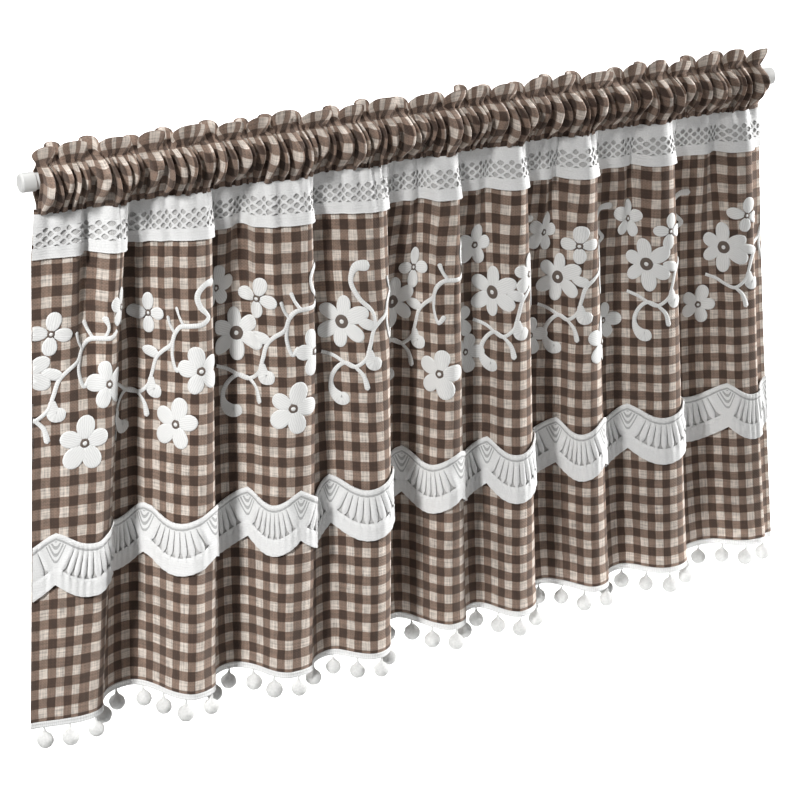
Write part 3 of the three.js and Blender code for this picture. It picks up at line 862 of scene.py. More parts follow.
def floss_material(name, colour):
    """Satin-stitched cotton floss: threads side by side with painted shade in the grooves between them, low
    sheen; drawn 1.8 mm apart so that they show.
    """
    material, tree = new_material(name)
    flat = add_node(tree, "ShaderNodeUVMap", uv_map="flat")
    threads = add_node(tree, "ShaderNodeTexWave", {
        "Vector": flat, "Scale": 1 / (5.6 * MM), "Distortion": 4.0, "Detail": 3.0, "Detail Scale": 2.0},
        bands_direction="X").outputs["Fac"]
    # Painted shade: the floss is darker in the grooves between its threads
    shade = add_node(tree, "ShaderNodeMapRange", {"Value": threads, "To Min": 0.87, "To Max": 1.02})
    tinted = add_node(tree, "ShaderNodeVectorMath", {0: tuple(colour)[:3], "Scale": shade}, operation="SCALE")
    bump = add_node(tree, "ShaderNodeBump", {"Height": threads, "Strength": 0.45, "Distance": 0.15 * MM})
    shader = add_node(tree, "ShaderNodeBsdfPrincipled", {
        "Base Color": tinted, "Normal": bump, "Roughness": 0.6,
        "Sheen Weight": 0.15, "Specular IOR Level": 0.35})
    add_node(tree, "ShaderNodeOutputMaterial", {"Surface": shader})
    return material


def yarn_material(trim):
    """Soft acrylic yarn, brushed: white, matt, in clumps of fibre, with painted shade a little darker in
    between.
    """
    material, tree = new_material("Brushed acrylic yarn")
    place = add_node(tree, "ShaderNodeTexCoord").outputs["Object"]
    clumps = add_node(tree, "ShaderNodeTexNoise", {"Vector": place, "Scale": 1 / (1.6 * MM), "Detail": 3.0})
    # Painted shade: the yarn is darker where the clumps are low, between them
    shade = add_node(tree, "ShaderNodeMapRange", {
        "Value": clumps, "From Min": 0.3, "From Max": 0.7, "To Min": 0.86, "To Max": 1.03})
    colour = add_node(tree, "ShaderNodeVectorMath", {0: trim.yarn[:3], "Scale": shade}, operation="SCALE")
    bump = add_node(tree, "ShaderNodeBump", {"Height": clumps, "Strength": 0.5, "Distance": 0.4 * MM})
    shader = add_node(tree, "ShaderNodeBsdfPrincipled", {
        "Base Color": colour, "Normal": bump, "Roughness": 0.92,
        "Sheen Weight": 0.05, "Specular IOR Level": 0.2})
    add_node(tree, "ShaderNodeOutputMaterial", {"Surface": shader})
    return material


def enamel_material(name, colour, roughness, grit):
    """White stoved enamel or moulded plastic: even colour with a faint orange peel (grit in mm)."""
    material, tree = new_material(name)
    place = add_node(tree, "ShaderNodeTexCoord").outputs["Object"]
    peel = add_node(tree, "ShaderNodeTexNoise", {"Vector": place, "Scale": 1 / (grit * MM), "Detail": 2.0})
    dull = add_node(tree, "ShaderNodeMapRange", {
        "Value": peel, "To Min": roughness - 0.06, "To Max": roughness + 0.1})
    bump = add_node(tree, "ShaderNodeBump", {"Height": peel, "Strength": 0.12, "Distance": 0.1 * MM})
    shader = add_node(tree, "ShaderNodeBsdfPrincipled", {
        "Base Color": tuple(colour), "Normal": bump, "Roughness": dull, "IOR": 1.5})
    add_node(tree, "ShaderNodeOutputMaterial", {"Surface": shader})
    return material


def floor_material(stage):
    """Matt studio paper over a light table: it glows a little, and is very faintly mottled."""
    material, tree = new_material("Studio paper")
    place = add_node(tree, "ShaderNodeTexCoord").outputs["Object"]
    mottle = add_node(tree, "ShaderNodeTexNoise", {"Vector": place, "Scale": 2.0, "Detail": 3.0})
    shade = add_node(tree, "ShaderNodeMapRange", {"Value": mottle, "To Min": 0.985, "To Max": 1.0})
    colour = add_node(tree, "ShaderNodeVectorMath", {0: stage.floor[:3], "Scale": shade}, operation="SCALE")
    shader = add_node(tree, "ShaderNodeBsdfPrincipled", {
        "Base Color": colour, "Roughness": 0.9, "Specular IOR Level": 0.1,
        "Emission Color": colour, "Emission Strength": stage.glow})
    add_node(tree, "ShaderNodeOutputMaterial", {"Surface": shader})
    return material


def lathe(profile, segments):
    """Points and faces turned about the X axis from (along, radius) places, closed by flat ends."""
    turns = np.linspace(0, 2 * np.pi, segments, endpoint=False)
    circle = [(math.cos(t), math.sin(t)) for t in turns]
    rings = [[(along, radius * c, radius * s) for c, s in circle] for along, radius in profile]
    points = np.array(rings).reshape(-1, 3)
    faces = ring_faces(len(profile), segments)
    faces.append(list(range(segments))[::-1])
    faces.append([(len(profile) - 1) * segments + k for k in range(segments)])
    return points, faces


def cap_profile():
    """Places along the left cap and its radius there, from the rounded outer end inwards."""
    turns = np.linspace(0, math.pi / 2, CAP_STEPS)[::-1]
    rounded = [
        (CAP_ROUNDING * (1 - math.sin(t)), CAP_RADIUS - CAP_ROUNDING * (1 - math.cos(t))) for t in turns]
    inner = [
        (CAP_LENGTH - CAP_BEVEL, CAP_RADIUS), (CAP_LENGTH, CAP_RADIUS - CAP_BEVEL),
        (CAP_LENGTH, ROD_RADIUS - CAP_INSET)]
    return [(0.0, CAP_MIDDLE), (0.0, CAP_RADIUS - CAP_ROUNDING), *rounded, *inner]


def uneven(number, seed):
    """A repeatable unevenness between -1 and 1."""
    return 0.6 * np.sin(2.399 * number + seed) + 0.4 * np.sin(5.173 * number + 2.3 * seed)


class Gathers:
    """Plan of the gathered heading by stations along it: rolls of uneven width with gaps between them."""

    def __init__(self):
        numbers = np.arange(GATHERS)
        widths = np.exp(GATHER_UNEVEN * uneven(numbers, 3))
        edges = np.concatenate([[0], np.cumsum(widths)]) / widths.sum()
        edges = HEADING_LEFT + (HEADING_RIGHT - HEADING_LEFT) * edges
        self.number = np.append(np.repeat(numbers, GATHER_STEPS), GATHERS - 1)
        share = np.append(np.tile(np.arange(GATHER_STEPS) / GATHER_STEPS, GATHERS), 1.0)
        width = np.diff(edges)[self.number]
        self.base = edges[self.number] + width * share
        step = 1 / GATHER_STEPS
        turn = np.pi * np.clip((share - step) / (1 - 2 * step), 0, 1)
        fill = ROLL_FILL + ROLL_FILL_UNEVEN * uneven(self.number, 9)
        across = 0.5 - (fill / 2 + ROLL_BULGE * np.sin(turn)) * np.cos(turn)
        across = np.where((share == 0) | (share == 1), share, across)
        self.x = edges[self.number] + width * across
        self.out = np.clip(np.sin(turn), 0, 1) ** ROLL_ROUNDING
        self.turn = turn
        self.full = width / width.mean()
        self.depth = ROLL_DEPTH * self.full ** ROLL_GROWTH * (1 + ROLL_UNEVEN * uneven(self.number, 1))
        self.lean = ROLL_LEAN * uneven(self.number, 8)
        self.bow = ROLL_BOW * uneven(self.number, 4)
        self.shift = ROLL_SHIFT * uneven(self.number, 6)
        seam = CLOTH.at(np.linspace(0, FLAT_WIDTH, GRID_ACROSS), SEAM_Z)
        self.seam = np.interp(self.base, seam[:, 0], seam[:, 1])

    def pocket_row(self, rise, side, depth):
        """Points at a share of the way from the seam up to the stitch line, on the front (-1) or back (1)."""
        at = np.clip(rise + self.shift * math.sin(math.pi * rise), 0, 1)
        wall = np.interp(at, POCKET_LINE[:, 0], POCKET_LINE[:, 1])
        swing = ROLL_CREASE_SWING * np.sin(ROLL_CREASE_TURN * rise + ROLL_CREASE_PHASE * self.number)
        from_crease = self.turn - np.pi * (0.5 + swing)
        crease = ROLL_CREASE * smooth(self.full - ROLL_CREASE_FROM) * bell(from_crease, ROLL_CREASE_HALF)
        stand = depth * np.interp(at, ROLL_SWELL[:, 0], ROLL_SWELL[:, 1]) * self.out * (1 - crease)
        sag = ROLL_SAG * self.out * (1 - rise) ** 3 * (side < 0)
        z = SEAM_Z + (POCKET_TOP_Z - SEAM_Z) * rise - sag
        aside = self.lean * (z - SEAM_Z - ROLL_LEAN_Z) + self.bow * math.sin(math.pi * rise)
        x = self.x + ROLL_SHEAR * stand + aside * self.out
        reach = side * self.seam * (1 - rise) ** SEAM_FADE + wall + stand
        # The cloth goes round the rod and never through it
        round_rod = np.sqrt(np.clip((ROD_RADIUS + POCKET_CLEAR) ** 2 - z ** 2, 0, None))
        y = side * np.maximum(reach, round_rod)
        return np.stack([x, y, z], axis=1)

    def curl_row(self, reach, sag, drop):
        """Points of the rolls' undersides, between the seam and the lowest of the roll."""
        stand = self.depth * ROLL_SWELL[0, 1] * self.out
        x = self.x + ROLL_SHEAR * stand * reach
        y = self.seam - POCKET_WALL - stand * reach
        return np.stack([x, y, SEAM_Z - drop - ROLL_SAG * sag * self.out], axis=1)

    def frill_rows(self):
        """Rows of the ruffle, up its front and down its back: lobes stand in front and fall back by turns."""
        along = self.base - HEADING_LEFT
        wave = 2 * np.pi * along / FRILL_PITCH
        for wander, span in FRILL_WANDERS:
            wave = wave + wander * np.sin(along / span)
        wave = wave + FRILL_FRONT * np.cos(wave)
        lobe = np.sin(wave)
        swing = FRILL_BACK - FRILL_SWING * lobe * (1 + FRILL_SWING_UNEVEN * uneven(wave / 5, 2))
        middle = self.base - FRILL_LOOP * np.sin(2 * wave)
        rounding = np.where(lobe > 0, FRILL_FRONT_ROUND, FRILL_BACK_ROUND)
        top = FRILL_HEIGHT + rounding * np.abs(lobe) ** FRILL_ROUNDING + FRILL_UNEVEN * uneven(wave / 7, 5)
        ahead = unit(np.stack([np.gradient(middle), np.gradient(swing)], axis=1))
        shares = np.linspace(0, 1, FRILL_ROWS + 1)[1:]
        rows = []
        for layer, ups in ((1, shares), (-1, shares[::-1])):
            for up in ups:
                gap = layer * FRILL_GAP * (1 + math.sin(math.pi * up))
                turned = smooth(FRILL_TURNING * up)
                x = self.x + (middle - self.x) * turned + gap * ahead[:, 1] * turned
                y = swing * up ** FRILL_ROUNDING - gap * (1 + (ahead[:, 0] - 1) * turned)
                rows.append(np.stack([x, y, POCKET_TOP_Z + top * up], axis=1))
        return rows


def heading_points():
    """Points of the gathered heading, a row for each station along it, and their flat places."""
    gathers = Gathers()
    rows = [gathers.curl_row(*curl) for curl in ROLL_CURL]
    rows += [gathers.pocket_row(rise, -1, gathers.depth) for rise in np.linspace(0, 1, POCKET_ROWS)]
    rows += gathers.frill_rows()
    rows += [gathers.pocket_row(rise, 1, BACK_DEPTH * gathers.depth) for rise in np.linspace(1, 0, BACK_ROWS)]
    points = np.array(rows).transpose(1, 0, 2)
    steps = np.linalg.norm(np.diff(points, axis=0), axis=2).mean(axis=1)
    across = np.concatenate([[0], np.cumsum(steps)])
    climb = np.linalg.norm(np.diff(points, axis=1), axis=2).mean(axis=0)
    down = np.concatenate([[0], np.cumsum(climb)])
    flat = np.stack(np.broadcast_arrays(across[:, None], down[None, :]), axis=2)
    return points, flat


class CURTAIN_OT_rod(Operator):
    """Enamels the rod and fits its rounded end caps"""

    bl_idname = "curtain.rod"
    bl_label = "Rod and end caps"

    def execute(self, context):
        rod = context.scene.curtain_rod
        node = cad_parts["rod"]
        node.data.materials.clear()
        enamel = enamel_material("Stoved white enamel", rod.enamel, roughness=0.35, grit=2.0)
        node.data.materials.append(enamel)
        plastic = enamel_material("Moulded white plastic", rod.plastic, roughness=0.42, grit=0.8)
        points, faces = lathe(cap_profile(), CAP_SEGMENTS)
        left = make_piece("end_cap_left", points, faces, plastic, sharp=35)
        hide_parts("rod_cap_left")
        mirrored = points * (-1, -1, 1) + (ROD_LENGTH, 0, 0)
        right = make_piece("end_cap_right", mirrored, faces, plastic, sharp=35)
        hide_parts("rod_cap_right")
        return {"FINISHED"}


class CURTAIN_OT_heading(Operator):
    """Gathers the heading on the rod: rolled pocket with a ruffle above it"""

    bl_idname = "curtain.heading"
    bl_label = "Heading"

    def execute(self, context):
        points, flat = heading_points()
        stations, loop = points.shape[:2]
        inner = points - grid_normals(points) * CLOTH_THICKNESS
        both, faces = thick_sheet(points, inner, grid_faces(stations - 1, loop - 1))
        cloth = bpy.data.materials["Linen gingham"]
        piece = make_piece("gathered_heading", both, faces, cloth, flat, sharp=70)
        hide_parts("heading")
        return {"FINISHED"}


class CURTAIN_OT_panel(Operator):
    """Hangs the gingham panel in its folds"""

    bl_idname = "curtain.panel"
    bl_label = "Panel"

    def execute(self, context):
        cloth = gingham_material(context.scene.curtain_cloth)
        heights = np.linspace(PANEL_TOP_Z, HEM_Z, PANEL_DOWN + 1)
        across = np.linspace(0, FLAT_WIDTH, PANEL_ACROSS + 1)
        tall, wide = np.meshgrid(heights, across, indexing="ij")
        side = np.minimum(wide, FLAT_WIDTH - wide)
        side_fold = smooth((SIDE_HEM - side) / SIDE_HEM_EASE + 0.5)
        low_fold = smooth((HEM_Z + LOW_HEM - tall) / LOW_HEM_EASE + 0.5)
        front = CLOTH.at(wide, tall, HEM_STEP * np.maximum(side_fold, low_fold) - HEM_STEP)
        back = CLOTH.at(wide, tall, -PANEL_THICKNESS - HEM_STEP)
        points, faces = thick_sheet(front, back, grid_faces(PANEL_DOWN, PANEL_ACROSS))
        flat = np.dstack([wide, -tall])
        piece = make_piece("hung_panel", points, faces, cloth, flat, sharp=60)
        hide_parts("panel")
        return {"FINISHED"}


class FlatNet:
    """Points and faces of a lace on the flat, with points shared by place."""

    def __init__(self):
        self.index = {}
        self.points = []
        self.faces = []

    def add(self, across, height):
        """Number of the point at a place, which is added where there is none yet."""
        key = round(across, 3), round(height, 3)
        if key not in self.index:
            self.index[key] = len(self.points)
            self.points.append((across, height))
        return self.index[key]

    def ring(self, outer, inner):
        """Quads between an outer outline and a hole's outline of as many points."""
        out = [self.add(*p) for p in outer]
        within = [self.add(*p) for p in inner]
        for k in range(len(out)):
            self.faces.append([out[k - 1], out[k], within[k], within[k - 1]])

    def fill(self, outline):
        """A plain patch, closed to its middle."""
        middle = self.add(*np.mean(outline, axis=0))
        out = [self.add(*p) for p in outline]
        for k in range(len(out)):
            self.faces.append([out[k - 1], out[k], middle])


def side_points(start, end, steps):
    """Places from one corner towards the next, without the last."""
    return [tuple(np.array(start) + (np.array(end) - np.array(start)) * k / steps) for k in range(steps)]


def band_net():
    """The lace band on the flat: plain strips above and below a net of staggered diamond holes."""
    net = FlatNet()
    columns = 2 * NET_CELLS

    def corner(column, row):
        return column * NET_HALF_WIDTH, NET_TOP_Z - row * NET_HALF_HEIGHT

    def outline(corners, steps):
        after = corners[1:] + corners[:1]
        sides = [side_points(*side) for side in zip(corners, after, steps)]
        return [p for side in sides for p in side]

    for row in range(0, NET_ROWS + 2):
        for column in range(0, columns + 1):
            if (row + column) % 2 == 0:
                continue
            if row in (0, NET_ROWS + 1) and column in (0, columns):
                continue
            left, right = corner(max(column - 1, 0), row), corner(min(column + 1, columns), row)
            top, bottom = corner(column, row - 1), corner(column, row + 1)
            if row == 0:
                net.fill(outline([left, bottom, right], [NET_SIDE_STEPS] * 3))
            elif row == NET_ROWS + 1:
                outer = outline([left, right, top], [NET_SIDE_STEPS] * 3)
                middle = np.mean(outer, axis=0)
                net.ring(outer, [tuple(middle + HALF_HOLE * (np.array(p) - middle)) for p in outer])
            elif column == 0:
                net.fill(outline([top, bottom, right], [2, NET_SIDE_STEPS, NET_SIDE_STEPS]))
            elif column == columns:
                net.fill(outline([top, left, bottom], [NET_SIDE_STEPS, NET_SIDE_STEPS, 2]))
            else:
                outer = outline([top, left, bottom, right], [NET_SIDE_STEPS] * 4)
                middle = np.array(corner(column, row))
                inner = []
                for p in outer:
                    reach = np.array(p) - middle
                    diamond = NET_HOLE * reach
                    rounded = NET_HOLE * HOLE_ROUND * NET_HALF_WIDTH * reach / np.linalg.norm(reach)
                    inner.append(tuple(middle + (1 - HOLE_ROUNDING) * diamond + HOLE_ROUNDING * rounded))
                net.ring(outer, inner)

    for top, base in ((BAND_TOP_Z, NET_TOP_Z), (NET_BOTTOM_Z, BAND_BOTTOM_Z)):
        rows = np.linspace(top, base, int(round((top - base) / STRIP_STEP)) + 1)
        half = NET_HALF_WIDTH / 2
        for upper, lower in zip(rows[:-1], rows[1:]):
            for k in range(2 * columns):
                across = k * half, (k + 1) * half
                net.faces.append([
                    net.add(across[0], lower), net.add(across[1], lower),
                    net.add(across[1], upper), net.add(across[0], upper)])
    return np.array(net.points), net.faces


def tulle_strip(name, upper, lower):
    """A strip of tulle behind a lace, between two heights at the tulle's places across the cloth."""
    shares = np.linspace(0, 1, TULLE_DOWN + 1)[:, None]
    wide, height = np.broadcast_arrays(TULLE_PLACES, upper + (lower - upper) * shares)
    back = CLOTH.at(wide, height, TULLE_STANDOFF)
    front = CLOTH.at(wide, height, TULLE_STANDOFF + TULLE_THICKNESS)
    points, faces = thick_sheet(front, back, grid_faces(TULLE_DOWN, TULLE_ACROSS))
    tulle = bpy.data.materials.get("Cotton tulle") or shaded_tulle_material()
    piece = make_piece(name, points, faces, tulle, np.dstack([wide, -height]))


def scallop_edges(across):
    """Heights of the scalloped lace's upper and lower edges at places across the cloth."""
    lobe = np.interp(across, LOBE_EDGES, np.arange(len(LOBE_EDGES)))
    arch = np.abs(np.sin(np.pi * lobe))
    upper = SCALLOP_TOP_Z - SCALLOP_TOP_DIP * arch ** SCALLOP_PEAK_ROUNDING
    lower = SCALLOP_NOTCH_Z - SCALLOP_LOBE_DEPTH * arch
    return upper, lower


def cord(height, at):
    """Rise of a sewn cord that runs along the lace at a height."""
    return CORD_HEIGHT * bell(height - at, CORD_WIDTH)


class CURTAIN_OT_lace_band(Operator):
    """Lays the openwork lace band under the pocket"""

    bl_idname = "curtain.lace_band"
    bl_label = "Lace band"

    def execute(self, context):
        lace = lace_material(context.scene.curtain_trim)
        flat, faces = band_net()
        across, height = flat[:, 0], flat[:, 1]
        rise = sum(cord(height, at) for at in BAND_CORDS)
        front = CLOTH.at(across, height, LACE_STANDOFF + LACE_THICKNESS + rise)
        back = CLOTH.at(across, height, LACE_STANDOFF)
        points, faces = thick_sheet(front, back, faces)
        piece = make_piece("openwork_lace_band", points, faces, lace, flat, sharp=50)
        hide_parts("lace_band")
        tulle_strip("band_tulle", NET_TOP_Z + TULLE_OVERLAP, NET_BOTTOM_Z - TULLE_OVERLAP)
        return {"FINISHED"}


def scallop_columns():
    """Columns of one lobe: place across the fan's foot (-1 to 1), side of its slit, place in its petal."""
    columns = [(-1.0, 0, 0.0), (-(1 + FAN_SIDE) / 2, 0, 0.0)]
    edges = np.linspace(-FAN_SIDE, FAN_SIDE, PETALS + 1)
    for left, right in zip(edges[:-1], edges[1:]):
        for share, side in ((0.0, 1), (1 / 3, 0), (2 / 3, 0), (1.0, -1)):
            columns.append((left + (right - left) * share, side, share))
    columns.append(((1 + FAN_SIDE) / 2, 0, 0.0))
    return columns


class CURTAIN_OT_scallop_lace(Operator):
    """Lays the scalloped lace with its fans across the panel"""

    bl_idname = "curtain.scallop_lace"
    bl_label = "Scalloped lace"

    def execute(self, context):
        lace = lace_material(context.scene.curtain_trim, lobes=True)
        columns = scallop_columns()
        fan = FAN_TOP + (FAN_BOTTOM - FAN_TOP) * np.array(FAN_ROWS)
        rows = np.concatenate([EDGE_ROWS, fan, BORDER_ROWS])
        first_fan = len(EDGE_ROWS)
        foot, side, petal = (np.array([c[k] for c in columns]) for k in range(3))
        down = rows[:, None]
        in_fan = np.clip((down - FAN_TOP) / (FAN_BOTTOM - FAN_TOP), 0, 1)
        gather = FAN_GATHER + (1 - FAN_GATHER) * in_fan
        inside = np.abs(foot) < FAN_SIDE + 0.001
        tip = np.clip((in_fan - SLIT_FOOT_START) / (1 - SLIT_FOOT_START), 0, 1)
        slit = SLIT_TOP + SLIT_GROWTH * in_fan + SLIT_FOOT * (1 - np.sqrt(1 - SLIT_FOOT_ROUND * tip ** 2))
        closing = 1 - SLIT_CLOSING * smooth((down - FAN_BOTTOM) / SLIT_CLOSING_SPAN)
        slit = slit / (LOBE_WIDTH / 2) * closing
        beside = foot * (1 - (1 - gather) * (1 - np.abs(foot)) / (1 - FAN_SIDE))
        place = np.where(inside, foot * gather, beside)
        outer_petals = np.isclose(np.abs(foot), FAN_SIDE)
        place = place + side * slit * np.where(outer_petals, 0.5, 1.0)
        dome = PETAL_HEIGHT * np.sin(np.pi * petal) * np.sin(np.pi * np.clip(in_fan, *PETAL_ENDS)) ** 0.5
        edge_cord, rim_cord = (full * bell(down - at, half) for at, half, full in (EDGE_CORD, RIM_CORD))
        at, half, full = BORDER
        border = full * smooth((down - at) / half) + rim_cord

        spans = zip(LOBE_EDGES[:-1], LOBE_EDGES[1:])
        lobes = [left + (right - left) * (place + 1) / 2 for left, right in spans]
        count = len(lobes)
        across = np.hstack([*lobes, np.full(down.shape, FLAT_WIDTH)])
        lobe_place = np.hstack([np.tile(1 - np.abs(place), count), np.zeros(down.shape)])
        rise = np.broadcast_to(dome + edge_cord + border, place.shape)
        rise = np.hstack([np.tile(rise, count), rise[:, :1]])
        slit_after = (side == -1) & (np.arange(len(columns)) < len(columns) - 2)
        slit_after = np.append(np.tile(slit_after, count), False)

        # The first lobe is cut off by the side hem
        kept = np.flatnonzero(across.min(axis=0) > 0.4)
        kept = np.concatenate([kept[:1], kept])
        across, lobe_place, rise = across[:, kept], lobe_place[:, kept], rise[:, kept]
        across[:, 0] = 0.0
        slit_after = slit_after[kept]
        slit_after[0] = False
        upper, lower = scallop_edges(across)
        height = upper + (lower - upper) * down
        skip = np.zeros((len(rows) - 1, len(kept) - 1), bool)
        skip[first_fan:first_fan + len(FAN_ROWS) - 1] = slit_after[:-1]
        faces = grid_faces(len(rows) - 1, len(kept) - 1, skip)
        front = CLOTH.at(across, height, LACE_STANDOFF + LACE_THICKNESS + rise)
        back = CLOTH.at(across, height, LACE_STANDOFF)
        points, faces = thick_sheet(front, back, faces)
        flat = np.dstack([across, -height])
        lobe = np.dstack(np.broadcast_arrays(lobe_place, down))
        piece = make_piece("scalloped_lace", points, faces, lace, flat, lobe, sharp=50)
        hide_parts("scallop_lace")
        upper, lower = scallop_edges(TULLE_PLACES)
        tulle_strip("scallop_tulle", *(upper + (lower - upper) * share for share in SLIT_TULLE))
        return {"FINISHED"}


def stem_line(places):
    """A smooth line through the places of a stem."""
    p = np.array(places, float)
    p = np.vstack([2 * p[0] - p[1], p, 2 * p[-1] - p[-2]])
    t = np.linspace(0, 1, STEM_STEPS, endpoint=False)[:, None]
    line = []
    for a, b, c, d in zip(p[:-3], p[1:-2], p[2:-1], p[3:]):
        square = (2 * a - 5 * b + 4 * c - d) * t ** 2
        cube = (3 * b - a - 3 * c + d) * t ** 3
        line.append(0.5 * (2 * b + (c - a) * t + square + cube))
    return np.vstack([*line, p[-2:-1]])


def stem_width(line, start, end, drop):
    """Width along a stem: it tapers, then swells to a round drop at its end where it has one."""
    steps = np.linalg.norm(np.diff(line, axis=0), axis=1)
    to_end = np.concatenate([np.cumsum(steps[::-1])[::-1], [0]])
    width = start + (end - start) * (1 - to_end / to_end[0])
    if drop:
        swell = smooth(SWELL_FULL - to_end / (SWELL_SPAN * drop))
        width = width + (2 * drop - width) * swell
        width = width * np.sqrt(1 - np.clip(1 - to_end / drop, 0, 0.999) ** 2)
    return width


def pointing(direction):
    """Unit step right and down on the flat; direction 0 points up, and turns clockwise."""
    return np.array([math.sin(direction), -math.cos(direction)])


class Stitchery:
    """Raised embroidery on the hung cloth, gathered from patches drawn on the flat."""

    def __init__(self):
        self.points, self.flat, self.faces, self.count = [], [], [], 0

    def patch(self, places, rise, thread, faces):
        """Adds a patch: places right and down in millimetres, rise off the cloth and thread coordinates."""
        if places[:, 0].max() < 1.0 or places[:, 0].min() > FLAT_WIDTH - 1.0:
            return
        across = np.clip(places[:, 0], 0.5, FLAT_WIDTH - 0.5)
        self.points.append(CLOTH.at(across, CHART_Z - places[:, 1], rise))
        self.flat.append(thread)
        self.faces.extend(shifted(faces, self.count))
        self.count += len(places)

    def domed(self, outline, middle, height, direction, rings=4):
        """A padded satin patch inside an outline, its threads across the given direction."""
        count = len(outline)
        levels = 1 - np.array(DOME_STEPS[rings])
        rises = FLOSS_EDGE + height * np.array(DOME_RISES[:rings])
        places = np.vstack([middle + (outline - middle) * s for s in levels] + [middle[None]])
        rise = np.append(np.repeat(rises, count), FLOSS_EDGE + height)
        faces = ring_faces(rings, count)
        start = (rings - 1) * count
        faces.extend([start + k, start + (k + 1) % count, rings * count] for k in range(count))
        along = pointing(direction)
        side = np.array([along[1], -along[0]])
        self.patch(places, rise, np.stack([places @ along, places @ side], axis=1), faces)

    def ribbon(self, line, width, height):
        """A corded line of a given width at each of its points."""
        ahead = unit(np.gradient(line, axis=0))
        side = np.stack([-ahead[:, 1], ahead[:, 0]], axis=1)
        aside = width[:, None] / 2 * STEM_PLACES
        places = (line[:, None] + side[:, None] * aside[..., None]).reshape(-1, 2)
        thread = np.dstack(np.broadcast_arrays(lengths_along(line)[:, None], STEM_PLACES * width[:, None]))
        rise = np.tile(STEM_RISES * height, len(line))
        faces = grid_faces(len(line) - 1, len(STEM_PLACES) - 1)
        self.patch(places, rise, thread.reshape(-1, 2), faces)

    def piece(self, name, material):
        """Makes one piece of all that was sewn."""
        make_piece(name, np.vstack(self.points), self.faces, material, np.vstack(self.flat))


def petal_outline(middle, direction, length, half_width, steps=22):
    """Outline of a petal: an egg, broader towards its tip."""
    turns = np.linspace(0, 2 * np.pi, steps, endpoint=False)
    along = np.cos(turns) * length / 2
    side = np.sin(turns) * half_width * (1 + PETAL_EGG * np.cos(turns))
    right = np.array([math.cos(direction), math.sin(direction)])
    return middle + along[:, None] * pointing(direction) + side[:, None] * right


def sew_flower(white, dark, x, y, radius, petals, turn):
    """One flower: padded petals round a dark eye, with a pale knot in the middle."""
    centre = np.array([x, y], float)
    for k in range(petals):
        wobble = 1 + PETAL_UNEVEN * uneven(k + x + y, 2)
        direction = math.radians(turn) + 2 * math.pi * k / petals + PETAL_UNEVEN * uneven(k + x, 5)
        middle = centre + pointing(direction) * radius * PETAL_PLACE * wobble
        half = PETAL_HALF[petals] * radius * wobble
        outline = petal_outline(middle, direction, radius * PETAL_LENGTH * wobble, half)
        white.domed(outline, middle, PETAL_RISE, direction + math.pi / 2)
    turns = np.linspace(0, 2 * np.pi, EYE_SIDES, endpoint=False)
    ring = np.stack([np.cos(turns), np.sin(turns)], axis=1)
    dark.domed(centre + ring * radius * EYE_RADIUS[petals], centre, EYE_RISE, 0.6, rings=3)
    white.domed(centre + ring * radius * KNOT_RADIUS, centre, KNOT_RISE, 0.0, rings=2)


class CURTAIN_OT_embroidery(Operator):
    """Embroiders the flowers and their leafy stems on the panel"""

    bl_idname = "curtain.embroidery"
    bl_label = "Embroidery"

    def execute(self, context):
        trim = context.scene.curtain_trim
        floss = floss_material("White cotton floss", trim.floss)
        shade = floss_material("Grey brown cotton floss", linear("#675b53"))
        flowers, stems, eyes = Stitchery(), Stitchery(), Stitchery()
        for repeat, start_x in enumerate(CHART_STARTS):
            shift = np.array([start_x, 0.0])
            for places, start, end, bud, repeats in STEMS:
                if repeat in repeats:
                    line = stem_line(places) + shift
                    stems.ribbon(line, stem_width(line, start, end, bud), STEM_RISE)
            for foot_x, foot_y, tip_x, tip_y, half in LEAVES:
                foot, tip = np.array([foot_x, foot_y]) + shift, np.array([tip_x, tip_y]) + shift
                direction = math.atan2(tip[0] - foot[0], foot[1] - tip[1])
                length = np.linalg.norm(tip - foot)
                outline = petal_outline((foot + tip) / 2, direction + math.pi, length, half, steps=18)
                stems.domed(outline, (foot + tip) / 2, STEM_RISE, direction + 0.7, rings=3)
            for x, y, radius, petals, turn, repeats in FLOWERS:
                if repeat in repeats:
                    swing = FLOWER_SWING * uneven(repeat, x)
                    sew_flower(flowers, eyes, x + start_x, y, radius, petals, turn + swing)
        for name, sewn, thread in zip(EMBROIDERY, (flowers, stems, eyes), (floss, floss, shade)):
            sewn.piece(name, thread)
        return {"FINISHED"}


def braid_points():
    """Front, back and flat places of the ribbed braid under the hem."""
    across = np.linspace(0, FLAT_WIDTH, BRAID_STEPS + 1)
    shares = np.linspace(0, 1, BRAID_ROWS + 1)
    down, wide = np.meshgrid(shares, across, indexing="ij")
    rows = np.abs(np.sin(2 * np.pi * down)) ** BRAID_ROUNDING
    lean = np.where(down < 0.5, 1, -1) * down * BRAID_SLANT
    ribs = BRAID_GROOVE + (1 - BRAID_GROOVE) * np.abs(np.sin(np.pi * wide / BRAID_RIB + lean))
    rise = BRAID_CORE + BRAID_RELIEF * rows * ribs
    height = BRAID_TOP_Z - BRAID_HEIGHT * down
    middle = CLOTH.at(wide, HEM_Z, -PANEL_THICKNESS / 2 - BRAID_SETBACK)
    out = CLOTH.at(wide, HEM_Z, 1.0) - CLOTH.at(wide, HEM_Z)
    middle[..., 2] = height
    front, back = middle + out * rise[..., None], middle - out * rise[..., None]
    return front, back, np.dstack([wide, -height])


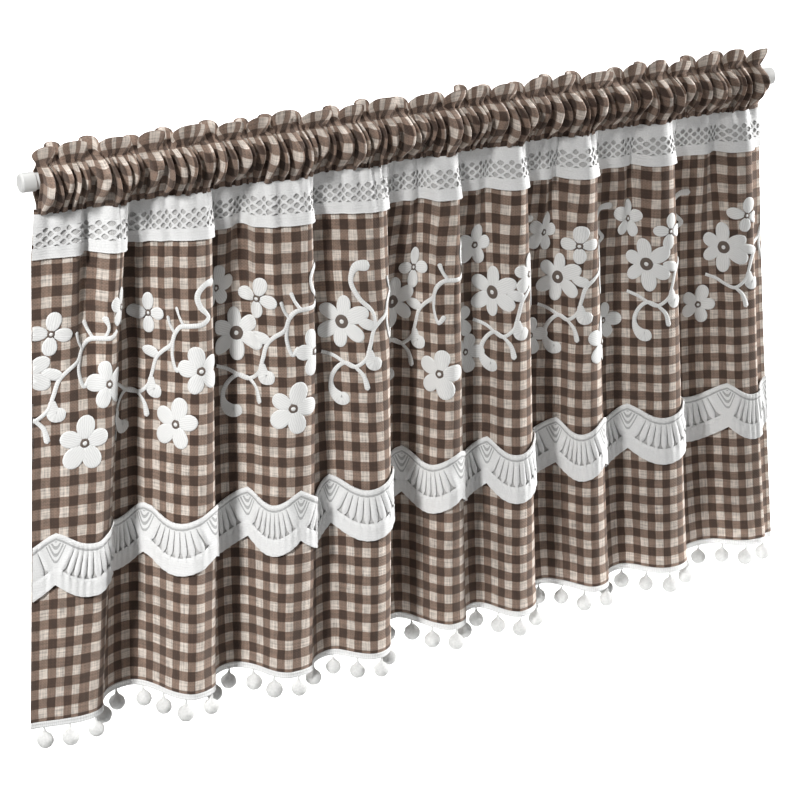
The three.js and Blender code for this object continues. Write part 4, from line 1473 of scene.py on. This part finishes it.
def pompom_mesh(rng, centre, radius, root, fibres):
    """Points and faces of one pompom: a stalk, a lumpy ball drawn up to it, and loose fibres."""
    phases = rng.uniform(0, 2 * np.pi, 6)

    def surface(tilt, turn):
        """Place on the ball; tilt 0 is its drawn-up top."""
        bumps = sum(
            high * np.sin(around * turn + down * tilt + phase)
            for (high, around, down), phase in zip(LUMPS, phases))
        drawn = DRAWN_UP[0] * bell(tilt, DRAWN_UP[1])
        r = radius * (1 + bumps * np.sin(tilt) + drawn)
        narrow = 1 - NARROWED[0] * bell(tilt, NARROWED[1])
        flat = r * np.sin(tilt) * narrow
        return np.stack([flat * np.cos(turn), flat * np.sin(turn), r * np.cos(tilt)], axis=-1)

    turns = np.linspace(0, 2 * np.pi, BALL_SEGMENTS, endpoint=False)
    tilts = np.linspace(0, np.pi, BALL_RINGS + 1)
    tilt, turn = np.meshgrid(tilts[1:-1], turns, indexing="ij")
    body = surface(tilt, turn).reshape(-1, 3)
    poles = surface(np.array([0.0, np.pi]), np.array([0.0, 0.0]))
    points = [np.vstack([body, poles]) + centre]
    top, base = len(body), len(body) + 1
    last = len(body) - BALL_SEGMENTS
    faces = [[a, d, c, b] for a, b, c, d in ring_faces(BALL_RINGS - 1, BALL_SEGMENTS)]
    for k in range(BALL_SEGMENTS):
        after = (k + 1) % BALL_SEGMENTS
        faces.append([top, k, after])
        faces.append([base, last + after, last + k])

    # Stalk: a thin cord from the braid into the ball's top, a little slack
    start = len(body) + 2
    path = np.linspace(root, centre + poles[0] * 0.8, STALK_STEPS + 1)
    slack = STALK_SLACK * np.sin(np.linspace(0, np.pi, STALK_STEPS + 1))
    path[:, :2] += slack[:, None] * rng.uniform(-1, 1, 2)
    for step, spot in enumerate(path):
        thick = STALK_RADIUS * (0.9 + 1.6 * (step / STALK_STEPS) ** 2)
        ring = np.linspace(0, 2 * np.pi, STALK_SIDES, endpoint=False) + 0.5 * step
        points.append(spot + thick * np.stack([np.cos(ring), np.sin(ring), 0 * ring], axis=1))
    faces += [[a, d, c, b] for a, b, c, d in ring_faces(STALK_STEPS + 1, STALK_SIDES, start)]

    # Loose fibres: slim closed spikes of three sides that stand off the ball
    start += (STALK_STEPS + 1) * STALK_SIDES
    tilt = np.arccos(rng.uniform(-1, FIBRE_TOP, fibres))
    turn = rng.uniform(0, 2 * np.pi, fibres)
    foot = surface(tilt, turn)
    out = unit(foot)
    away = unit(out + FIBRE_SPLAY * rng.normal(size=(fibres, 3)))
    tip = foot + away * rng.uniform(*FIBRE_LENGTHS, fibres)[:, None]
    wide = FIBRE_HALF * unit(np.cross(away, rng.normal(size=(fibres, 3))))
    across = np.cross(away, wide)
    foot = foot - out * FIBRE_ROOT
    thirds = (0, 2 * math.pi / 3, 4 * math.pi / 3)
    corners = [foot + wide * math.cos(t) + across * math.sin(t) for t in thirds]
    points.append(np.hstack([*corners, tip]).reshape(-1, 3) + centre)
    for a in range(start, start + 4 * fibres, 4):
        faces.extend([[a, a + 1, a + 3], [a + 1, a + 2, a + 3], [a + 2, a, a + 3], [a + 2, a + 1, a]])
    return np.vstack(points), faces


class CURTAIN_OT_pompom_trim(Operator):
    """Sews the braid with its pompoms under the hem"""

    bl_idname = "curtain.pompom_trim"
    bl_label = "Pompom braid"

    def execute(self, context):
        trim = context.scene.curtain_trim
        yarn = yarn_material(trim)
        cotton = floss_material("Braided cotton", trim.lace)
        front, back, flat = braid_points()
        points, faces = thick_sheet(front, back, grid_faces(BRAID_ROWS, BRAID_STEPS))
        braid = make_piece(HEM_TRIM[0], points, faces, cotton, flat, sharp=80)
        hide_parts("pompom_trim")

        rng = np.random.default_rng(SEED)
        all_points, all_faces, count = [], [], 0
        at = (np.arange(POMPOMS) + 0.5) * FLAT_WIDTH / POMPOMS
        roots = CLOTH.at(at, HEM_Z, -PANEL_THICKNESS / 2)
        roots[:, 2] = BRAID_TOP_Z - BRAID_HEIGHT + STALK_INSET
        for root in roots:
            radius = POMPOM_RADIUS * rng.uniform(*POMPOM_SIZES)
            sway = rng.uniform(-POMPOM_SWAY, POMPOM_SWAY, 2)
            drop = STALK_DROP + STALK_INSET + radius
            ball, faces = pompom_mesh(rng, root + (*sway, -drop), radius, root, trim.fibres)
            all_points.append(ball)
            all_faces.extend(shifted(faces, count))
            count += len(ball)
        balls = make_piece(HEM_TRIM[1], np.vstack(all_points), all_faces, yarn)
        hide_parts("pompom_trim")
        return {"FINISHED"}


def soft_light(name, place, target, size, power, spread):
    """A softbox turned towards a target, with a grid that keeps its beam; metres, watts and degrees."""
    light = bpy.data.lights.new(name, "AREA")
    light.shape = "RECTANGLE"
    light.size, light.size_y = size
    light.energy = power
    light.spread = math.radians(spread)
    lamp = bpy.data.objects.new(name, light)
    bpy.context.scene.collection.objects.link(lamp)
    lamp.location = place
    lamp.visible_camera = False
    ahead = np.array(target) - np.array(place)
    flat = math.hypot(ahead[0], ahead[1])
    lamp.rotation_euler = (math.atan2(flat, -ahead[2]), 0, math.atan2(-ahead[0], ahead[1]))


class CURTAIN_OT_stage(Operator):
    """Sets the pale floor, the soft studio light and the photograph's camera"""

    bl_idname = "curtain.stage"
    bl_label = "Stage"

    def execute(self, context):
        stage = context.scene.curtain_stage
        line = np.linspace(-FLOOR_HALF, FLOOR_HALF, FLOOR_STEPS + 1)
        wide, deep = np.meshgrid(line, line, indexing="ij")
        points = np.dstack([wide, deep, np.full(wide.shape, stage.floor_height)]).reshape(-1, 3)
        mesh = bpy.data.meshes.new("floor")
        mesh.from_pydata(points.tolist(), [], grid_faces(FLOOR_STEPS, FLOOR_STEPS))
        mesh.materials.append(floor_material(stage))
        floor = bpy.data.objects.new("floor", mesh)
        context.scene.collection.objects.link(floor)

        for name, power, place, target, size, spread in LIGHTS:
            soft_light(name, place, target, size, getattr(stage, power), spread)

        world = bpy.data.worlds.new("Studio")
        world.use_nodes = True
        world.node_tree.nodes.clear()
        sky = add_node(world.node_tree, "ShaderNodeBackground", {
            "Color": (1.0, 1.0, 1.0, 1.0), "Strength": stage.sky})
        add_node(world.node_tree, "ShaderNodeOutputWorld", {"Surface": sky})
        context.scene.world = world
        context.scene.view_settings.view_transform = "Standard"

        lens = bpy.data.cameras.new("camera")
        lens.lens = CAMERA_LENS
        lens.sensor_width = SENSOR_WIDTH
        camera = bpy.data.objects.new("camera", lens)
        context.scene.collection.objects.link(camera)
        camera.location = CAMERA_PLACE
        camera.rotation_euler = (math.radians(90 - CAMERA_PITCH), 0, math.radians(-CAMERA_TURN))
        context.scene.camera = camera
        return {"FINISHED"}


class CURTAIN_PT_pieces(Panel):
    """Lists the curtain's pieces and the sizes and colours that go with them"""

    bl_label = "Curtain"
    bl_idname = "CURTAIN_PT_pieces"
    bl_space_type = "VIEW_3D"
    bl_region_type = "UI"
    bl_category = "Curtain"

    def draw(self, context):
        for name in GROUPS:
            group = getattr(context.scene, name)
            box = self.layout.box()
            for key in group.bl_rna.properties.keys():
                if key not in {"rna_type", "name"}:
                    box.prop(group, key)
        for operator in OPERATORS:
            self.layout.operator(operator.bl_idname)


GROUPS = {
    "curtain_cloth": CurtainCloth,
    "curtain_trim": CurtainTrim,
    "curtain_rod": CurtainRod,
    "curtain_stage": CurtainStage,
}
OPERATORS = (
    CURTAIN_OT_stage,
    CURTAIN_OT_rod,
    CURTAIN_OT_embroidery,
    CURTAIN_OT_pompom_trim,
    CURTAIN_OT_panel,
    CURTAIN_OT_heading,
    CURTAIN_OT_lace_band,
    CURTAIN_OT_scallop_lace,
)


def register():
    """Registers the settings, the operators and the panel."""
    for cls in (*GROUPS.values(), *OPERATORS, CURTAIN_PT_pieces):
        bpy.utils.register_class(cls)
    for name, group in GROUPS.items():
        setattr(bpy.types.Scene, name, PointerProperty(type=group))


def unregister():
    """Takes back what register adds."""
    for name in GROUPS:
        delattr(bpy.types.Scene, name)
    for cls in reversed((*GROUPS.values(), *OPERATORS, CURTAIN_PT_pieces)):
        bpy.utils.unregister_class(cls)


def main():
    """Builds the curtain on the frame."""
    register()
    for operator in OPERATORS:
        group, name = operator.bl_idname.split(".")
        getattr(getattr(bpy.ops, group), name)()


if __name__ == "__main__":
    main()
